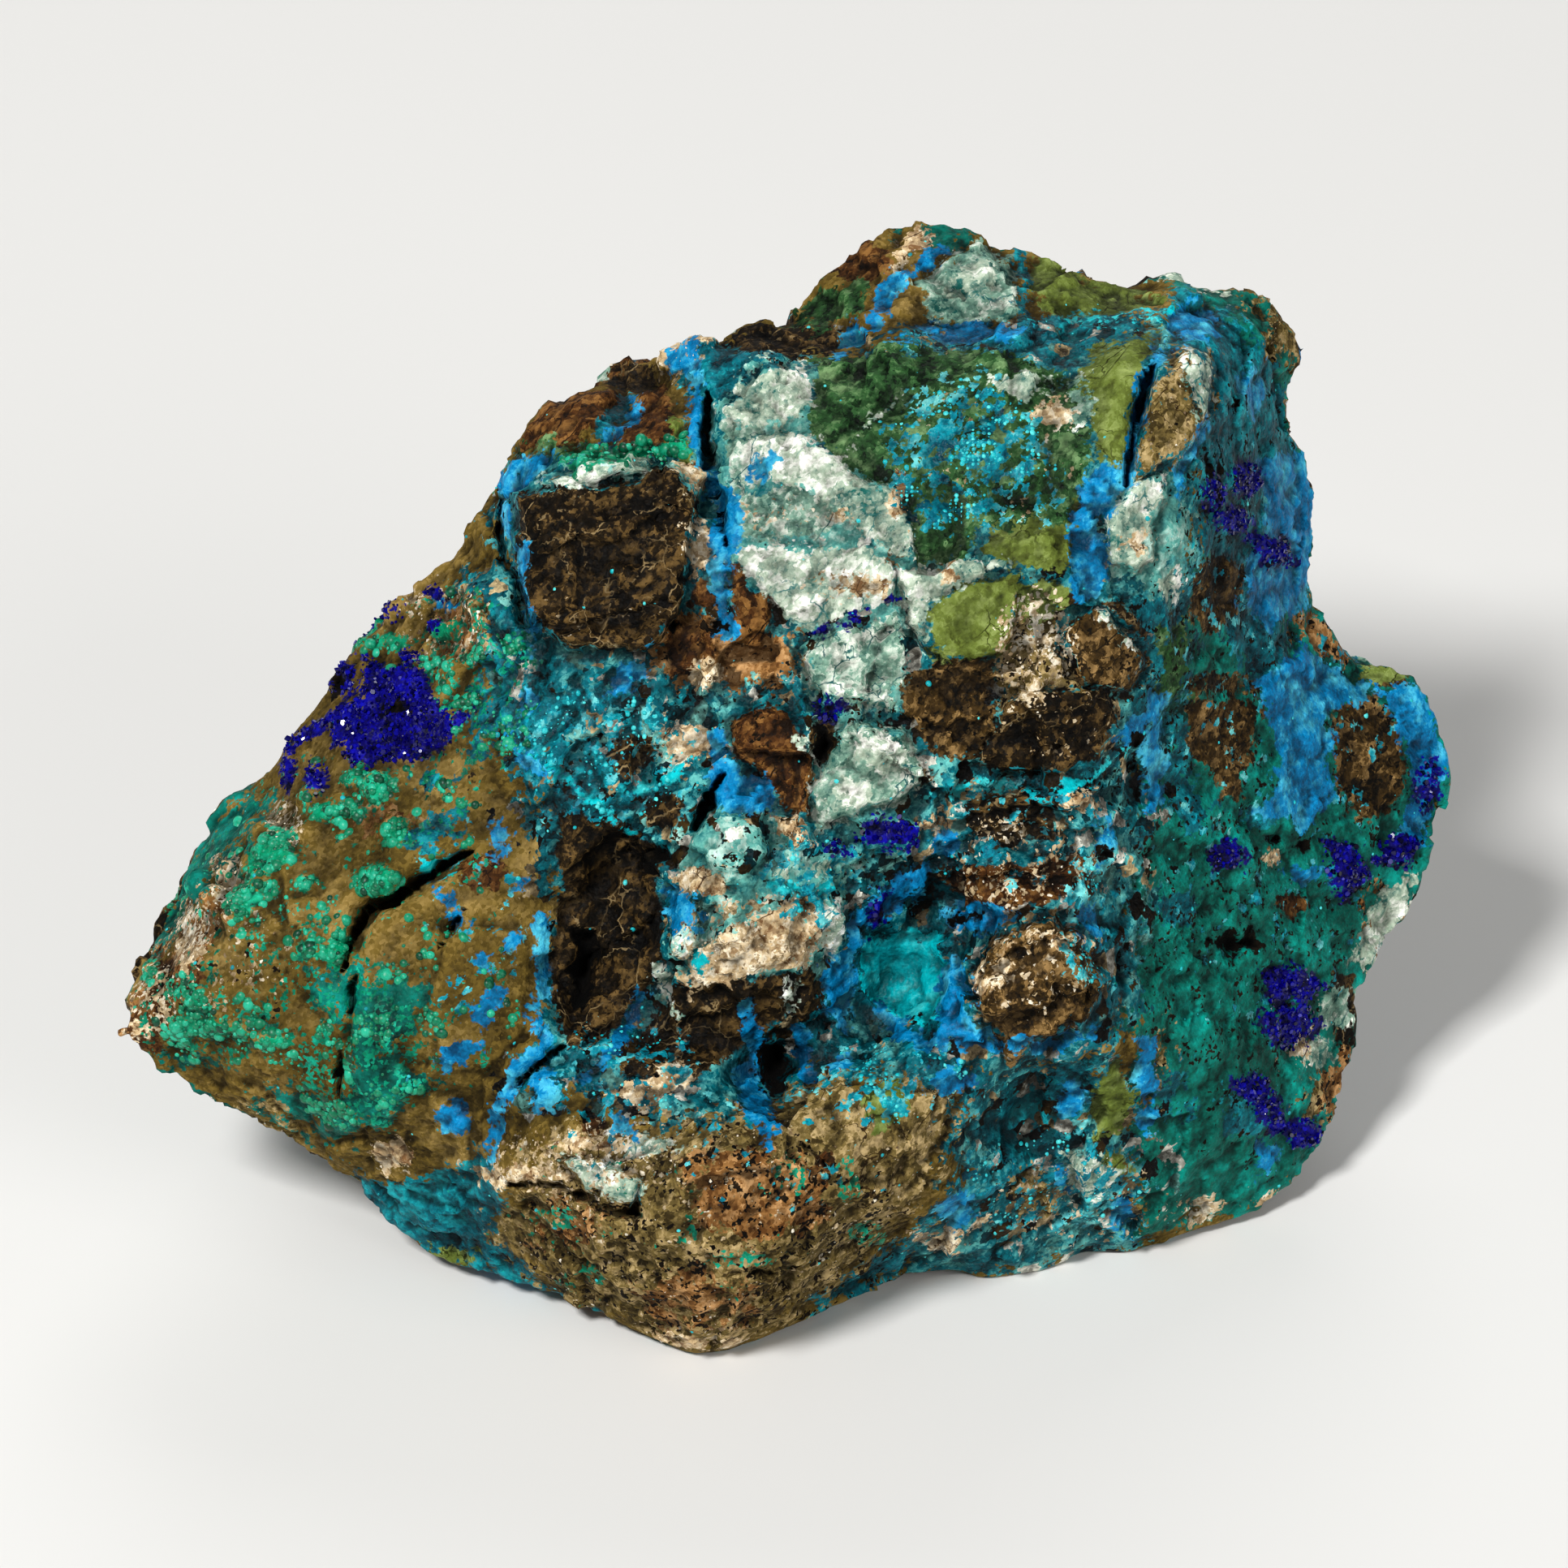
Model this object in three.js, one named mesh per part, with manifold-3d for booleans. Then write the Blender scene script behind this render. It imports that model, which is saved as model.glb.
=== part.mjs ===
// A hand specimen of chrysocolla, malachite and azurite in a brown, iron-stained breccia.
// The stone formed as one piece, so it is one solid: its clasts, beads and crystals are fused to it,
// and its cracks are cut into it. Millimetres, +Z up, resting on a small flat on its underside.

import * as THREE from "three";
import { mergeVertices } from "three/addons/utils/BufferGeometryUtils.js";
import { ImprovedNoise } from "three/addons/math/ImprovedNoise.js";
import Module from "manifold-3d";

// Driving dimensions.
const GRID = 0.04; // one unit of the drawing grid below, so that the stone is about 67 across
const SHOW_FACE_TILT = THREE.MathUtils.degToRad(35); // the show face looks up this far above the horizon
const VIEW_DISTANCE = 420; // from where the drawing grid sees the show face
const SHOW_FACE_CENTRE = new THREE.Vector3(-0.4, -7.7, 26); // where the grid's centre lies
const WALL_SLOPE = 2.4; // how steeply the sides fall away behind the outline
const EDGE_SLOPE = 0.55; // the least that they fall away, where a rear face comes close to the outline
const LIP_SLOPE = 0.2; // the most that the show face dips inside its own outline
const RINGS = 28; // rings of facets from the middle of the show face to its outline
const GROUND_SIZE = 160; // wider than the stone
const BLOCK_ROOT = -1.5; // how far below the show face a fused clast is rooted
const CUT_HEIGHT = 2.5; // how far above the show face a crack is cut
const SUNK_SHARE = 0.3; // how much of its radius a bead or crystal is sunk by
const LUMPS = { coarse: { size: 95, height: 0.5 }, fine: { size: 42, height: 0.35 } }; // of broken rock
const COLOUR = new THREE.Color(0x4f6b5c);

// The show face is drawn on a square grid seen from the front, x to the right and y down.
// Each point is [x, y, out]: two grid units and the height towards the viewer in millimetres.
const GRID_CENTRE = 966;
const HUB = [985, 950]; // every part of the outline can be seen from here

// The outline, clockwise from the peak.
const OUTLINE = [
  [1138, 265, -10], [1205, 301, -10.5], [1300, 308, -10.5], [1340, 346, -10.5], [1410, 362, -11],
  [1443, 340, -12], [1520, 368, -12.5], [1545, 360, -13], [1580, 392, -14], [1603, 432, -14.5],
  [1586, 470, -14], [1581, 520, -14], [1606, 562, -15], [1621, 637, -15.5], [1609, 690, -15],
  [1625, 755, -15.5], [1658, 820, -16.5], [1712, 822, -17.2], [1752, 838, -17.6], [1775, 900, -17.6],
  [1785, 955, -17.6], [1777, 1005, -17.4], [1742, 1110, -16.8], [1705, 1165, -16.4], [1672, 1215, -15.6],
  [1667, 1290, -15.4], [1650, 1365, -15], [1632, 1410, -14.6], [1595, 1455, -14], [1555, 1492, -13.4],
  [1440, 1530, -12], [1380, 1547, -11.4], [1340, 1538, -11], [1290, 1568, -10.2], [1215, 1578, -9.8],
  [1170, 1562, -9.4], [1100, 1573, -8.5], [1010, 1620, -6.5], [915, 1660, -5], [860, 1672, -4.5],
  [800, 1650, -5], [690, 1592, -7], [575, 1560, -9], [530, 1545, -9.5], [480, 1508, -10],
  [430, 1455, -10], [350, 1402, -8.5], [235, 1335, -7], [180, 1303, -6], [148, 1278, -5],
  [144, 1260, -5], [166, 1225, -6], [170, 1195, -8], [205, 1140, -9.5], [235, 1055, -10.5],
  [275, 1000, -10.5], [330, 960, -9], [358, 905, -9], [400, 850, -8.5], [440, 800, -8],
  [480, 762, -7.5], [487, 735, -7], [520, 710, -7], [555, 700, -7], [572, 668, -7],
  [602, 606, -7], [632, 545, -7], [712, 468, -7.5], [765, 455, -9], [806, 452, -9],
  [816, 430, -6], [850, 420, -6], [880, 424, -7], [922, 396, -8], [970, 397, -8.5],
  [985, 368, -9.5], [1060, 305, -10], [1105, 280, -10],
];

// Heights read off the show face, one list for each of its forms.
const RELIEF = {
  crown: [
    [1100, 330, -7.8], [1200, 335, -8], [1320, 345, -8.6], [1045, 398, -6.8], [1190, 402, -7],
    [1330, 398, -7.4],
  ],
  upperFace: [
    [950, 452, -2.6], [1100, 440, -2.4], [1250, 440, -2.2], [1390, 426, -2.8], [920, 500, -1.8],
    [950, 620, 0], [1050, 700, 1], [1080, 520, -1.2], [1200, 560, 0], [1300, 600, 0], [1200, 660, 0.8],
    [880, 470, -3.5],
  ],
  pillar: [
    [1460, 440, -2.4], [1440, 520, -0.8], [1440, 650, -0.6], [1430, 740, -1], [1482, 470, -2.6],
    [1478, 580, -1.8], [1470, 680, -1.6], [1436, 800, -1.4], [1406, 880, -1.2],
  ],
  darkBlock: [
    [640, 640, -2.5], [655, 600, -2], [740, 590, -1.2], [840, 590, -1.2], [650, 720, -1.2],
    [740, 700, 0], [840, 700, 0], [700, 790, 0.5], [690, 520, -4.5], [800, 510, -4],
  ],
  middleFace: [
    [660, 870, -0.3], [750, 900, 0.5], [850, 900, 0.5], [700, 980, 0.5], [950, 820, 1], [1000, 950, 1],
    [1060, 930, 2], [1060, 820, 1.5], [1180, 760, 1.5], [1280, 850, 1.5], [1180, 900, 0.5],
    [1250, 965, -0.3], [1250, 1060, 0.5], [1375, 950, -1], [1355, 1080, -1], [1090, 1030, 1],
  ],
  leftCave: [
    [690, 1020, 0.6], [745, 1090, -2.2], [720, 1190, -3.2], [800, 1020, 0], [730, 1285, -0.4],
    [800, 1230, -1.2],
  ],
  paleMass: [
    [870, 1050, 2], [930, 1100, 2.6], [1000, 1130, 2], [850, 1170, 2], [950, 1240, 0.8],
  ],
  blueHollow: [
    [1110, 1200, -3.6], [1060, 1250, -4], [1150, 1110, -2.6], [960, 1310, -3.4], [830, 1270, -1.6],
    [1070, 1290, -2.4],
  ],
  rightClasts: [
    [1260, 1150, 1.5], [1250, 1250, 1.5], [1330, 1100, 0], [1340, 1250, -0.5], [1345, 1180, -1.2],
    [1380, 1290, -2],
  ],
  leftFace: [
    [640, 1000, -0.5], [640, 1150, 0], [640, 1280, 0.5], [520, 1000, -1.5], [500, 1150, -0.5],
    [500, 1280, -0.5], [420, 1340, -2], [400, 1050, -2.5], [400, 1200, -1.5], [300, 1230, -2.5],
    [560, 880, -2], [580, 760, -3], [470, 900, -4], [420, 930, -4.5],
  ],
  leftRidge: [
    [390, 985, -4], [330, 1050, -3.5], [270, 1110, -3.5], [220, 1180, -3.5], [185, 1240, -4],
  ],
  leftFlank: [
    [300, 1310, -3.5], [430, 1400, -4], [560, 1400, -3.2], [520, 1480, -6.5], [600, 1500, -5.5],
  ],
  knob: [
    [700, 1380, 1], [640, 1400, -0.5], [650, 1450, 0], [780, 1400, 2], [900, 1400, 2.5],
    [1000, 1400, 2.5], [1100, 1400, 1.5], [1180, 1380, 0], [700, 1470, 0.5], [860, 1480, 3.5],
    [1000, 1480, 2.5], [1100, 1470, 0.4], [760, 1540, 1], [870, 1570, 2], [980, 1550, 1],
    [700, 1550, -2], [870, 1630, -0.5], [950, 1610, -1.5], [800, 1330, 0.8], [1050, 1335, 1],
    [1130, 1310, 1],
  ],
  lowerRight: [
    [1290, 1370, -6], [1230, 1400, -4.6], [1360, 1360, -4.2], [1330, 1450, -5.2], [1250, 1470, -5],
    [1180, 1500, -5.2], [1280, 1530, -8], [1400, 1500, -9],
  ],
  wingFoot: [
    [1522, 470, -6.6], [1515, 580, -6], [1508, 680, -6], [1474, 800, -5.4], [1446, 880, -5],
    [1426, 960, -4.6], [1402, 1080, -4], [1388, 1180, -3.8],
  ],
  wing: [
    [1550, 430, -9.5], [1555, 550, -9.5], [1570, 650, -11], [1580, 800, -11], [1530, 930, -8.4],
    [1620, 900, -12.5], [1700, 930, -15.6], [1740, 900, -16.6], [1470, 1000, -5.6], [1550, 1050, -9.2],
    [1650, 1050, -13.6], [1450, 1150, -5], [1520, 1170, -8.4], [1620, 1180, -12.8], [1440, 1300, -5],
    [1520, 1300, -8], [1610, 1300, -12.6], [1430, 1430, -7.6], [1540, 1420, -10.8],
  ],
};

// The broken faces behind and below: planes with an outward normal and a reach from the grid's centre.
const REAR_FACES = [
  { normal: [0.05, 1, 0.12], reach: 27.5 },
  { normal: [-0.62, 0.78, 0.1], reach: 25 },
  { normal: [0.72, 0.68, -0.1], reach: 31 },
  { normal: [-0.25, 0.72, 0.65], reach: 26.5 },
  { normal: [0.45, 0.7, 0.55], reach: 32 },
  { normal: [-0.66, 0.05, -0.75], reach: 25.5 },
  { normal: [0.6, 0.15, -0.79], reach: 30 },
  { normal: [0.05, 0.62, -0.78], reach: 35.5 },
];

// Angular clasts that stand proud of the show face: outline and rise in millimetres.
const CLASTS = {
  darkBlock: {
    rise: 0.6,
    outline: [
      [640, 590], [700, 575], [830, 572], [852, 640], [846, 760], [800, 800], [700, 790], [652, 765],
    ],
  },
  topLeftBlock: {
    rise: 0.7,
    outline: [
      [650, 545], [715, 488], [765, 482], [740, 545],
    ],
  },
  pillar: {
    rise: 0.6,
    outline: [
      [1432, 452], [1476, 446], [1484, 505], [1448, 575], [1405, 592], [1410, 520],
    ],
  },
  hollowSill: {
    rise: 0.7,
    outline: [
      [1205, 1165], [1320, 1140], [1335, 1180], [1318, 1255], [1245, 1290], [1215, 1235],
    ],
  },
};

// Open cracks: the line each follows, its width in grid units and its depth in millimetres.
const CRACKS = [
  {
    width: 15,
    depth: 2.4,
    line: [[424, 1196], [432, 1160], [452, 1124], [490, 1102], [545, 1068], [588, 1046]],
  },
  { width: 11, depth: 1.4, line: [[436, 1204], [430, 1262], [416, 1348]] },
  { width: 11, depth: 1.4, line: [[534, 1172], [552, 1140], [572, 1116]] },
  { width: 12, depth: 1.6, line: [[622, 640], [626, 696], [644, 756], [664, 806], [656, 868]] },
  { width: 15, depth: 2.6, line: [[880, 486], [870, 540], [876, 600], [888, 668]] },
  { width: 16, depth: 2.2, line: [[1424, 446], [1400, 520], [1388, 604]] },
  { width: 15, depth: 2.4, line: [[892, 952], [872, 990], [856, 1024]] },
  { width: 14, depth: 2.0, line: [[1394, 906], [1402, 956], [1392, 1000]] },
  { width: 16, depth: 2.0, line: [[1366, 1150], [1376, 1190], [1390, 1224]] },
  { width: 12, depth: 1.6, line: [[796, 1448], [784, 1488], [776, 1524]] },
  { width: 14, depth: 1.8, line: [[700, 1294], [660, 1318], [640, 1340]] },
];

// Malachite beads: a run along the left ridge, and loose groups on the left face.
const BEADS = [
  { from: [372, 1002], to: [262, 1128], count: 14, spread: 24, radius: [0.55, 0.95] },
  { from: [455, 975], to: [405, 1000], count: 4, spread: 14, radius: [0.5, 0.75] },
  { from: [470, 1085], to: [495, 1030], count: 5, spread: 16, radius: [0.5, 0.8] },
];

// Azurite crystals: drusy crusts, each scattered over an ellipse.
const DRUSES = [
  { centre: [488, 874], halfSize: [58, 52], count: 22, radius: [0.6, 1.0] },
  { centre: [1095, 1022], halfSize: [38, 15], count: 9, radius: [0.55, 0.8] },
];

const noise = new ImprovedNoise();
const wasm = await Module();
wasm.setup();

// A repeatable random number from 0 to 1 for each whole number.
function chance(index) {
  const wave = Math.sin(index * 127.1 + 311.7) * 43758.5453;
  return wave - Math.floor(wave);
}

// Where a point of the show face lies in the stone's frame.
function onShowFace(x, y, out) {
  const spread = 1 - out / VIEW_DISTANCE;
  const right = (x - GRID_CENTRE) * GRID * spread;
  const up = (GRID_CENTRE - y) * GRID * spread;
  const sin = Math.sin(SHOW_FACE_TILT);
  const cos = Math.cos(SHOW_FACE_TILT);
  return new THREE.Vector3(right, up * sin - out * cos, up * cos + out * sin).add(SHOW_FACE_CENTRE);
}

// Solves a square system of equations, given as rows that end with the right-hand side.
function solve(rows) {
  const size = rows.length;
  for (let column = 0; column < size; column++) {
    let pivot = column;
    for (let row = column; row < size; row++) {
      if (Math.abs(rows[row][column]) > Math.abs(rows[pivot][column])) pivot = row;
    }
    [rows[column], rows[pivot]] = [rows[pivot], rows[column]];
    for (let row = 0; row < size; row++) {
      if (row === column) continue;
      const share = rows[row][column] / rows[column][column];
      for (let k = column; k <= size; k++) rows[row][k] -= share * rows[column][k];
    }
  }
  return rows.map((row, i) => row[size] / row[i]);
}

// A surface through scattered heights: straight cones about each point, weighted to meet them all.
function surfaceThrough(points) {
  const reaches = (x, y) => points.map(([px, py]) => Math.hypot(x - px, y - py));
  const rows = points.map(([x, y, out]) => [...reaches(x, y), 1, out]);
  rows.push([...points.map(() => 1), 0, 0]);
  const weights = solve(rows);
  const level = weights[points.length];
  return (x, y) => reaches(x, y).reduce((sum, reach, i) => sum + weights[i] * reach, level);
}

const relief = surfaceThrough([...OUTLINE, ...Object.values(RELIEF).flat()]);

// Height of the show face, with the lumps of broken rock on it.
function showFaceOut(x, y) {
  const coarse = noise.noise(x / LUMPS.coarse.size, y / LUMPS.coarse.size, 3.7);
  const fine = noise.noise(x / LUMPS.fine.size, y / LUMPS.fine.size, 8.1);
  return relief(x, y) + LUMPS.coarse.height * coarse + LUMPS.fine.height * fine;
}

// Height of the back: the walls fall from the rim until they meet one of the broken rear faces.
function backOut(x, y, rim, rimDistance) {
  const chipped = 1.6 * noise.noise(x / 150, y / 150, 21.3) + 0.9 * noise.noise(x / 65, y / 65, 5.9);
  const onGrid = onShowFace(x, y, 0).sub(SHOW_FACE_CENTRE);
  const outward = new THREE.Vector3(0, -Math.cos(SHOW_FACE_TILT), Math.sin(SHOW_FACE_TILT));
  const rear = REAR_FACES.map(({ normal, reach }) => {
    const face = new THREE.Vector3(...normal).normalize();
    return (reach - face.dot(onGrid)) / face.dot(outward);
  });
  const wall = rim.z - WALL_SLOPE * rimDistance * GRID;
  const edge = rim.z - EDGE_SLOPE * rimDistance * GRID;
  const settle = Math.min(1, rimDistance / 200);
  return Math.max(wall, Math.min(edge, Math.max(...rear))) + chipped * settle;
}

// The outline as a closed path, so that any share of the way round gives a point of the rim.
function outlinePath() {
  const corners = OUTLINE.map((point) => new THREE.Vector3(...point));
  const path = new THREE.CurvePath();
  corners.forEach((corner, i) => path.add(new THREE.LineCurve3(corner, corners[(i + 1) % corners.length])));
  return path;
}

// The share of a full turn at which a point of a flat octahedron lies, 0 to 1.
function turnOf(x, y) {
  const reach = Math.abs(x) + Math.abs(y) || 1;
  let quarter = y > 0 ? 1 : 2;
  if (x > 0) quarter = y >= 0 ? 0 : 3;
  const share = quarter % 2 === 0 ? Math.abs(y) / reach : Math.abs(x) / reach;
  return (quarter + share) / 4;
}

// The stone's mass: an octahedron whose equator is drawn out to the outline, its near half pushed to the
// show face's heights and its far half to the back's.
function stoneMass() {
  const path = outlinePath();
  const geometry = new THREE.OctahedronGeometry(1, RINGS - 1);
  const position = geometry.attributes.position;
  const corner = new THREE.Vector3();
  for (let i = 0; i < position.count; i++) {
    corner.fromBufferAttribute(position, i);
    corner.divideScalar(Math.abs(corner.x) + Math.abs(corner.y) + Math.abs(corner.z));
    const ring = Math.min(1, Math.abs(corner.x) + Math.abs(corner.y));
    const rim = path.getPoint(1 - turnOf(corner.x, corner.y));
    const isRim = ring > 1 - 0.5 / RINGS;
    const isBack = corner.z < 0;
    const share = isBack ? Math.sin((ring * Math.PI) / 2) : ring;
    const x = HUB[0] + (rim.x - HUB[0]) * share;
    const y = HUB[1] + (rim.y - HUB[1]) * share;
    const rimDistance = Math.hypot(rim.x - x, rim.y - y);
    const lip = rim.z - LIP_SLOPE * rimDistance * GRID;
    let out = isBack ? backOut(x, y, rim, rimDistance) : Math.max(lip, showFaceOut(x, y));
    if (isRim) out = rim.z;
    const placed = onShowFace(isRim ? rim.x : x, isRim ? rim.y : y, out);
    position.setXYZ(i, placed.x, placed.y, placed.z);
  }
  return solidFrom(geometry);
}

// A three.js geometry as a closed solid.
function solidFrom(geometry) {
  const bare = geometry.clone();
  bare.deleteAttribute("normal");
  bare.deleteAttribute("uv");
  const merged = mergeVertices(bare, 1e-4);
  return new wasm.Manifold(
    new wasm.Mesh({
      numProp: 3,
      vertProperties: merged.attributes.position.array,
      triVerts: new Uint32Array(merged.index.array),
    }),
  );
}

// A block on the show face, between two heights measured from the surface under its outline.
function faceBlock(outline, low, high) {
  const shape = new THREE.Shape(outline.map(([x, y]) => new THREE.Vector2(x, -y)));
  const geometry = new THREE.ExtrudeGeometry(shape, { depth: 1, bevelEnabled: false });
  const position = geometry.attributes.position;
  for (let i = 0; i < position.count; i++) {
    const x = position.getX(i);
    const y = -position.getY(i);
    const out = showFaceOut(x, y) + (position.getZ(i) > 0.5 ? high : low);
    const placed = onShowFace(x, y, out);
    position.setXYZ(i, placed.x, placed.y, placed.z);
  }
  return solidFrom(geometry);
}

// The outline of a crack: its line widened to both sides, closing to a point at each end.
function crackOutline(line, width) {
  const sideways = line.slice(1, -1).map(([x, y], i) => {
    const before = line[i];
    const after = line[i + 2];
    const across = new THREE.Vector2(after[1] - before[1], before[0] - after[0]).setLength(width / 2);
    return { near: [x + across.x, y + across.y], far: [x - across.x, y - across.y] };
  });
  const near = sideways.map((side) => side.near);
  const far = sideways.map((side) => side.far).reverse();
  return [line[0], ...near, line[line.length - 1], ...far];
}

// A malachite bead or azurite crystal sunk a little into the show face.
function onSurface(geometry, x, y, sunk) {
  const place = onShowFace(x, y, showFaceOut(x, y) - sunk);
  return solidFrom(geometry.translate(place.x, place.y, place.z));
}

function beads() {
  return BEADS.flatMap(({ from, to, count, spread, radius }, group) =>
    Array.from({ length: count }, (_, i) => {
      const along = (i + 0.5) / count;
      const seed = 100 * group + 7 * i;
      const x = THREE.MathUtils.lerp(from[0], to[0], along) + spread * (2 * chance(seed) - 1);
      const y = THREE.MathUtils.lerp(from[1], to[1], along) + spread * (2 * chance(seed + 1) - 1);
      const size = THREE.MathUtils.lerp(...radius, chance(seed + 2));
      return onSurface(new THREE.OctahedronGeometry(size, 1), x, y, SUNK_SHARE * size);
    }),
  );
}

function crystals() {
  return DRUSES.flatMap(({ centre, halfSize, count, radius }, group) =>
    Array.from({ length: count }, (_, i) => {
      const seed = 1000 + 500 * group + 11 * i;
      const turn = 2.4 * i; // close to the golden angle, so that the crystals spread evenly
      const reach = Math.sqrt((i + 0.5) / count);
      const x = centre[0] + halfSize[0] * reach * Math.cos(turn);
      const y = centre[1] + halfSize[1] * reach * Math.sin(turn);
      const size = THREE.MathUtils.lerp(...radius, chance(seed));
      const crystal = new THREE.OctahedronGeometry(size, 0).scale(0.7, 0.7, 1.15);
      crystal.rotateX(3 * chance(seed + 1)).rotateY(3 * chance(seed + 2)).rotateZ(3 * chance(seed + 3));
      return onSurface(crystal, x, y, SUNK_SHARE * size);
    }),
  );
}

// Everything below the level that the stone rests on.
function ground() {
  const slab = new THREE.BoxGeometry(GROUND_SIZE, GROUND_SIZE, GROUND_SIZE);
  return solidFrom(slab.translate(0, 0, -GROUND_SIZE / 2));
}

function stone() {
  const fused = [
    ...Object.values(CLASTS).map(({ outline, rise }) => faceBlock(outline, BLOCK_ROOT, rise)),
    ...beads(),
    ...crystals(),
  ];
  const cuts = CRACKS.map(({ line, width, depth }) =>
    faceBlock(crackOutline(line, width), -depth, CUT_HEIGHT),
  );
  const grown = fused.reduce((body, piece) => body.add(piece), stoneMass());
  const cracked = cuts.reduce((body, cut) => body.subtract(cut), grown);
  const rested = cracked.subtract(ground());
  const { vertProperties, triVerts } = rested.getMesh();
  const geometry = new THREE.BufferGeometry();
  geometry.setAttribute("position", new THREE.BufferAttribute(vertProperties, 3));
  geometry.setIndex(new THREE.BufferAttribute(triVerts, 1));
  geometry.computeVertexNormals();
  const material = new THREE.MeshStandardMaterial({ color: COLOUR, roughness: 0.75, metalness: 0 });
  const mesh = new THREE.Mesh(geometry, material);
  mesh.name = "stone";
  return mesh;
}

const specimen = new THREE.Group();
specimen.add(stone());

export default specimen;
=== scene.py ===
"""Looks of the chrysocolla and malachite specimen: a fine skin, its minerals, beads and crystals."""

import math
from collections import namedtuple

import bmesh
import bpy
import numpy as np
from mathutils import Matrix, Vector, noise


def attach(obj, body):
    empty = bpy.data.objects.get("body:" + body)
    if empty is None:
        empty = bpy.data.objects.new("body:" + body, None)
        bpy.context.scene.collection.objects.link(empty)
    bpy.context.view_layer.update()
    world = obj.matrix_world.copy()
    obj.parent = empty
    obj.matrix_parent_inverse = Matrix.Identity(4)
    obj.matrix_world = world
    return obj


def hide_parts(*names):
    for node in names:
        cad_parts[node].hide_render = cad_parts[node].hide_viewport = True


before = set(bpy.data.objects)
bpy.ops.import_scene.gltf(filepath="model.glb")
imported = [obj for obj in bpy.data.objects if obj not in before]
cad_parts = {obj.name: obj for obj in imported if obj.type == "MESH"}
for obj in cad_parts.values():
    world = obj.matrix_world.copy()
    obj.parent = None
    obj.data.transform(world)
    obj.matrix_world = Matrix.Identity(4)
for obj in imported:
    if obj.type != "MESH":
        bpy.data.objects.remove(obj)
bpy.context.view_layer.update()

# The show face, as the solid was drawn: a square grid seen from the camera, x to the right and y down.
GRID = 0.00004  # metres in one grid unit
GRID_CENTRE = 966
FRAME_SIDE = 1932  # the picture's side in grid units
TILT = math.radians(35)
VIEW_DISTANCE = 0.42
SHOW_FACE_CENTRE = np.array([-0.0004, -0.0077, 0.026])
OUTWARD = np.array([0, -math.cos(TILT), math.sin(TILT)])
UPWARD = np.array([0, math.sin(TILT), math.cos(TILT)])

# Fineness of the skin.
VOXEL = 0.00054
EVEN_PASSES = 3
EVEN_SHARES = (0.6, -0.62)  # a step in and a step out again, so that the stone keeps its size
SHOWN = 0.12  # faces that turn more than this to the camera are made finer
FACING_PASSES = 30
FACING = 0.25  # ground that turns this much to the camera is wholly as it was drawn
MILLIMETRE = 0.001

SEED = 5

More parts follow.
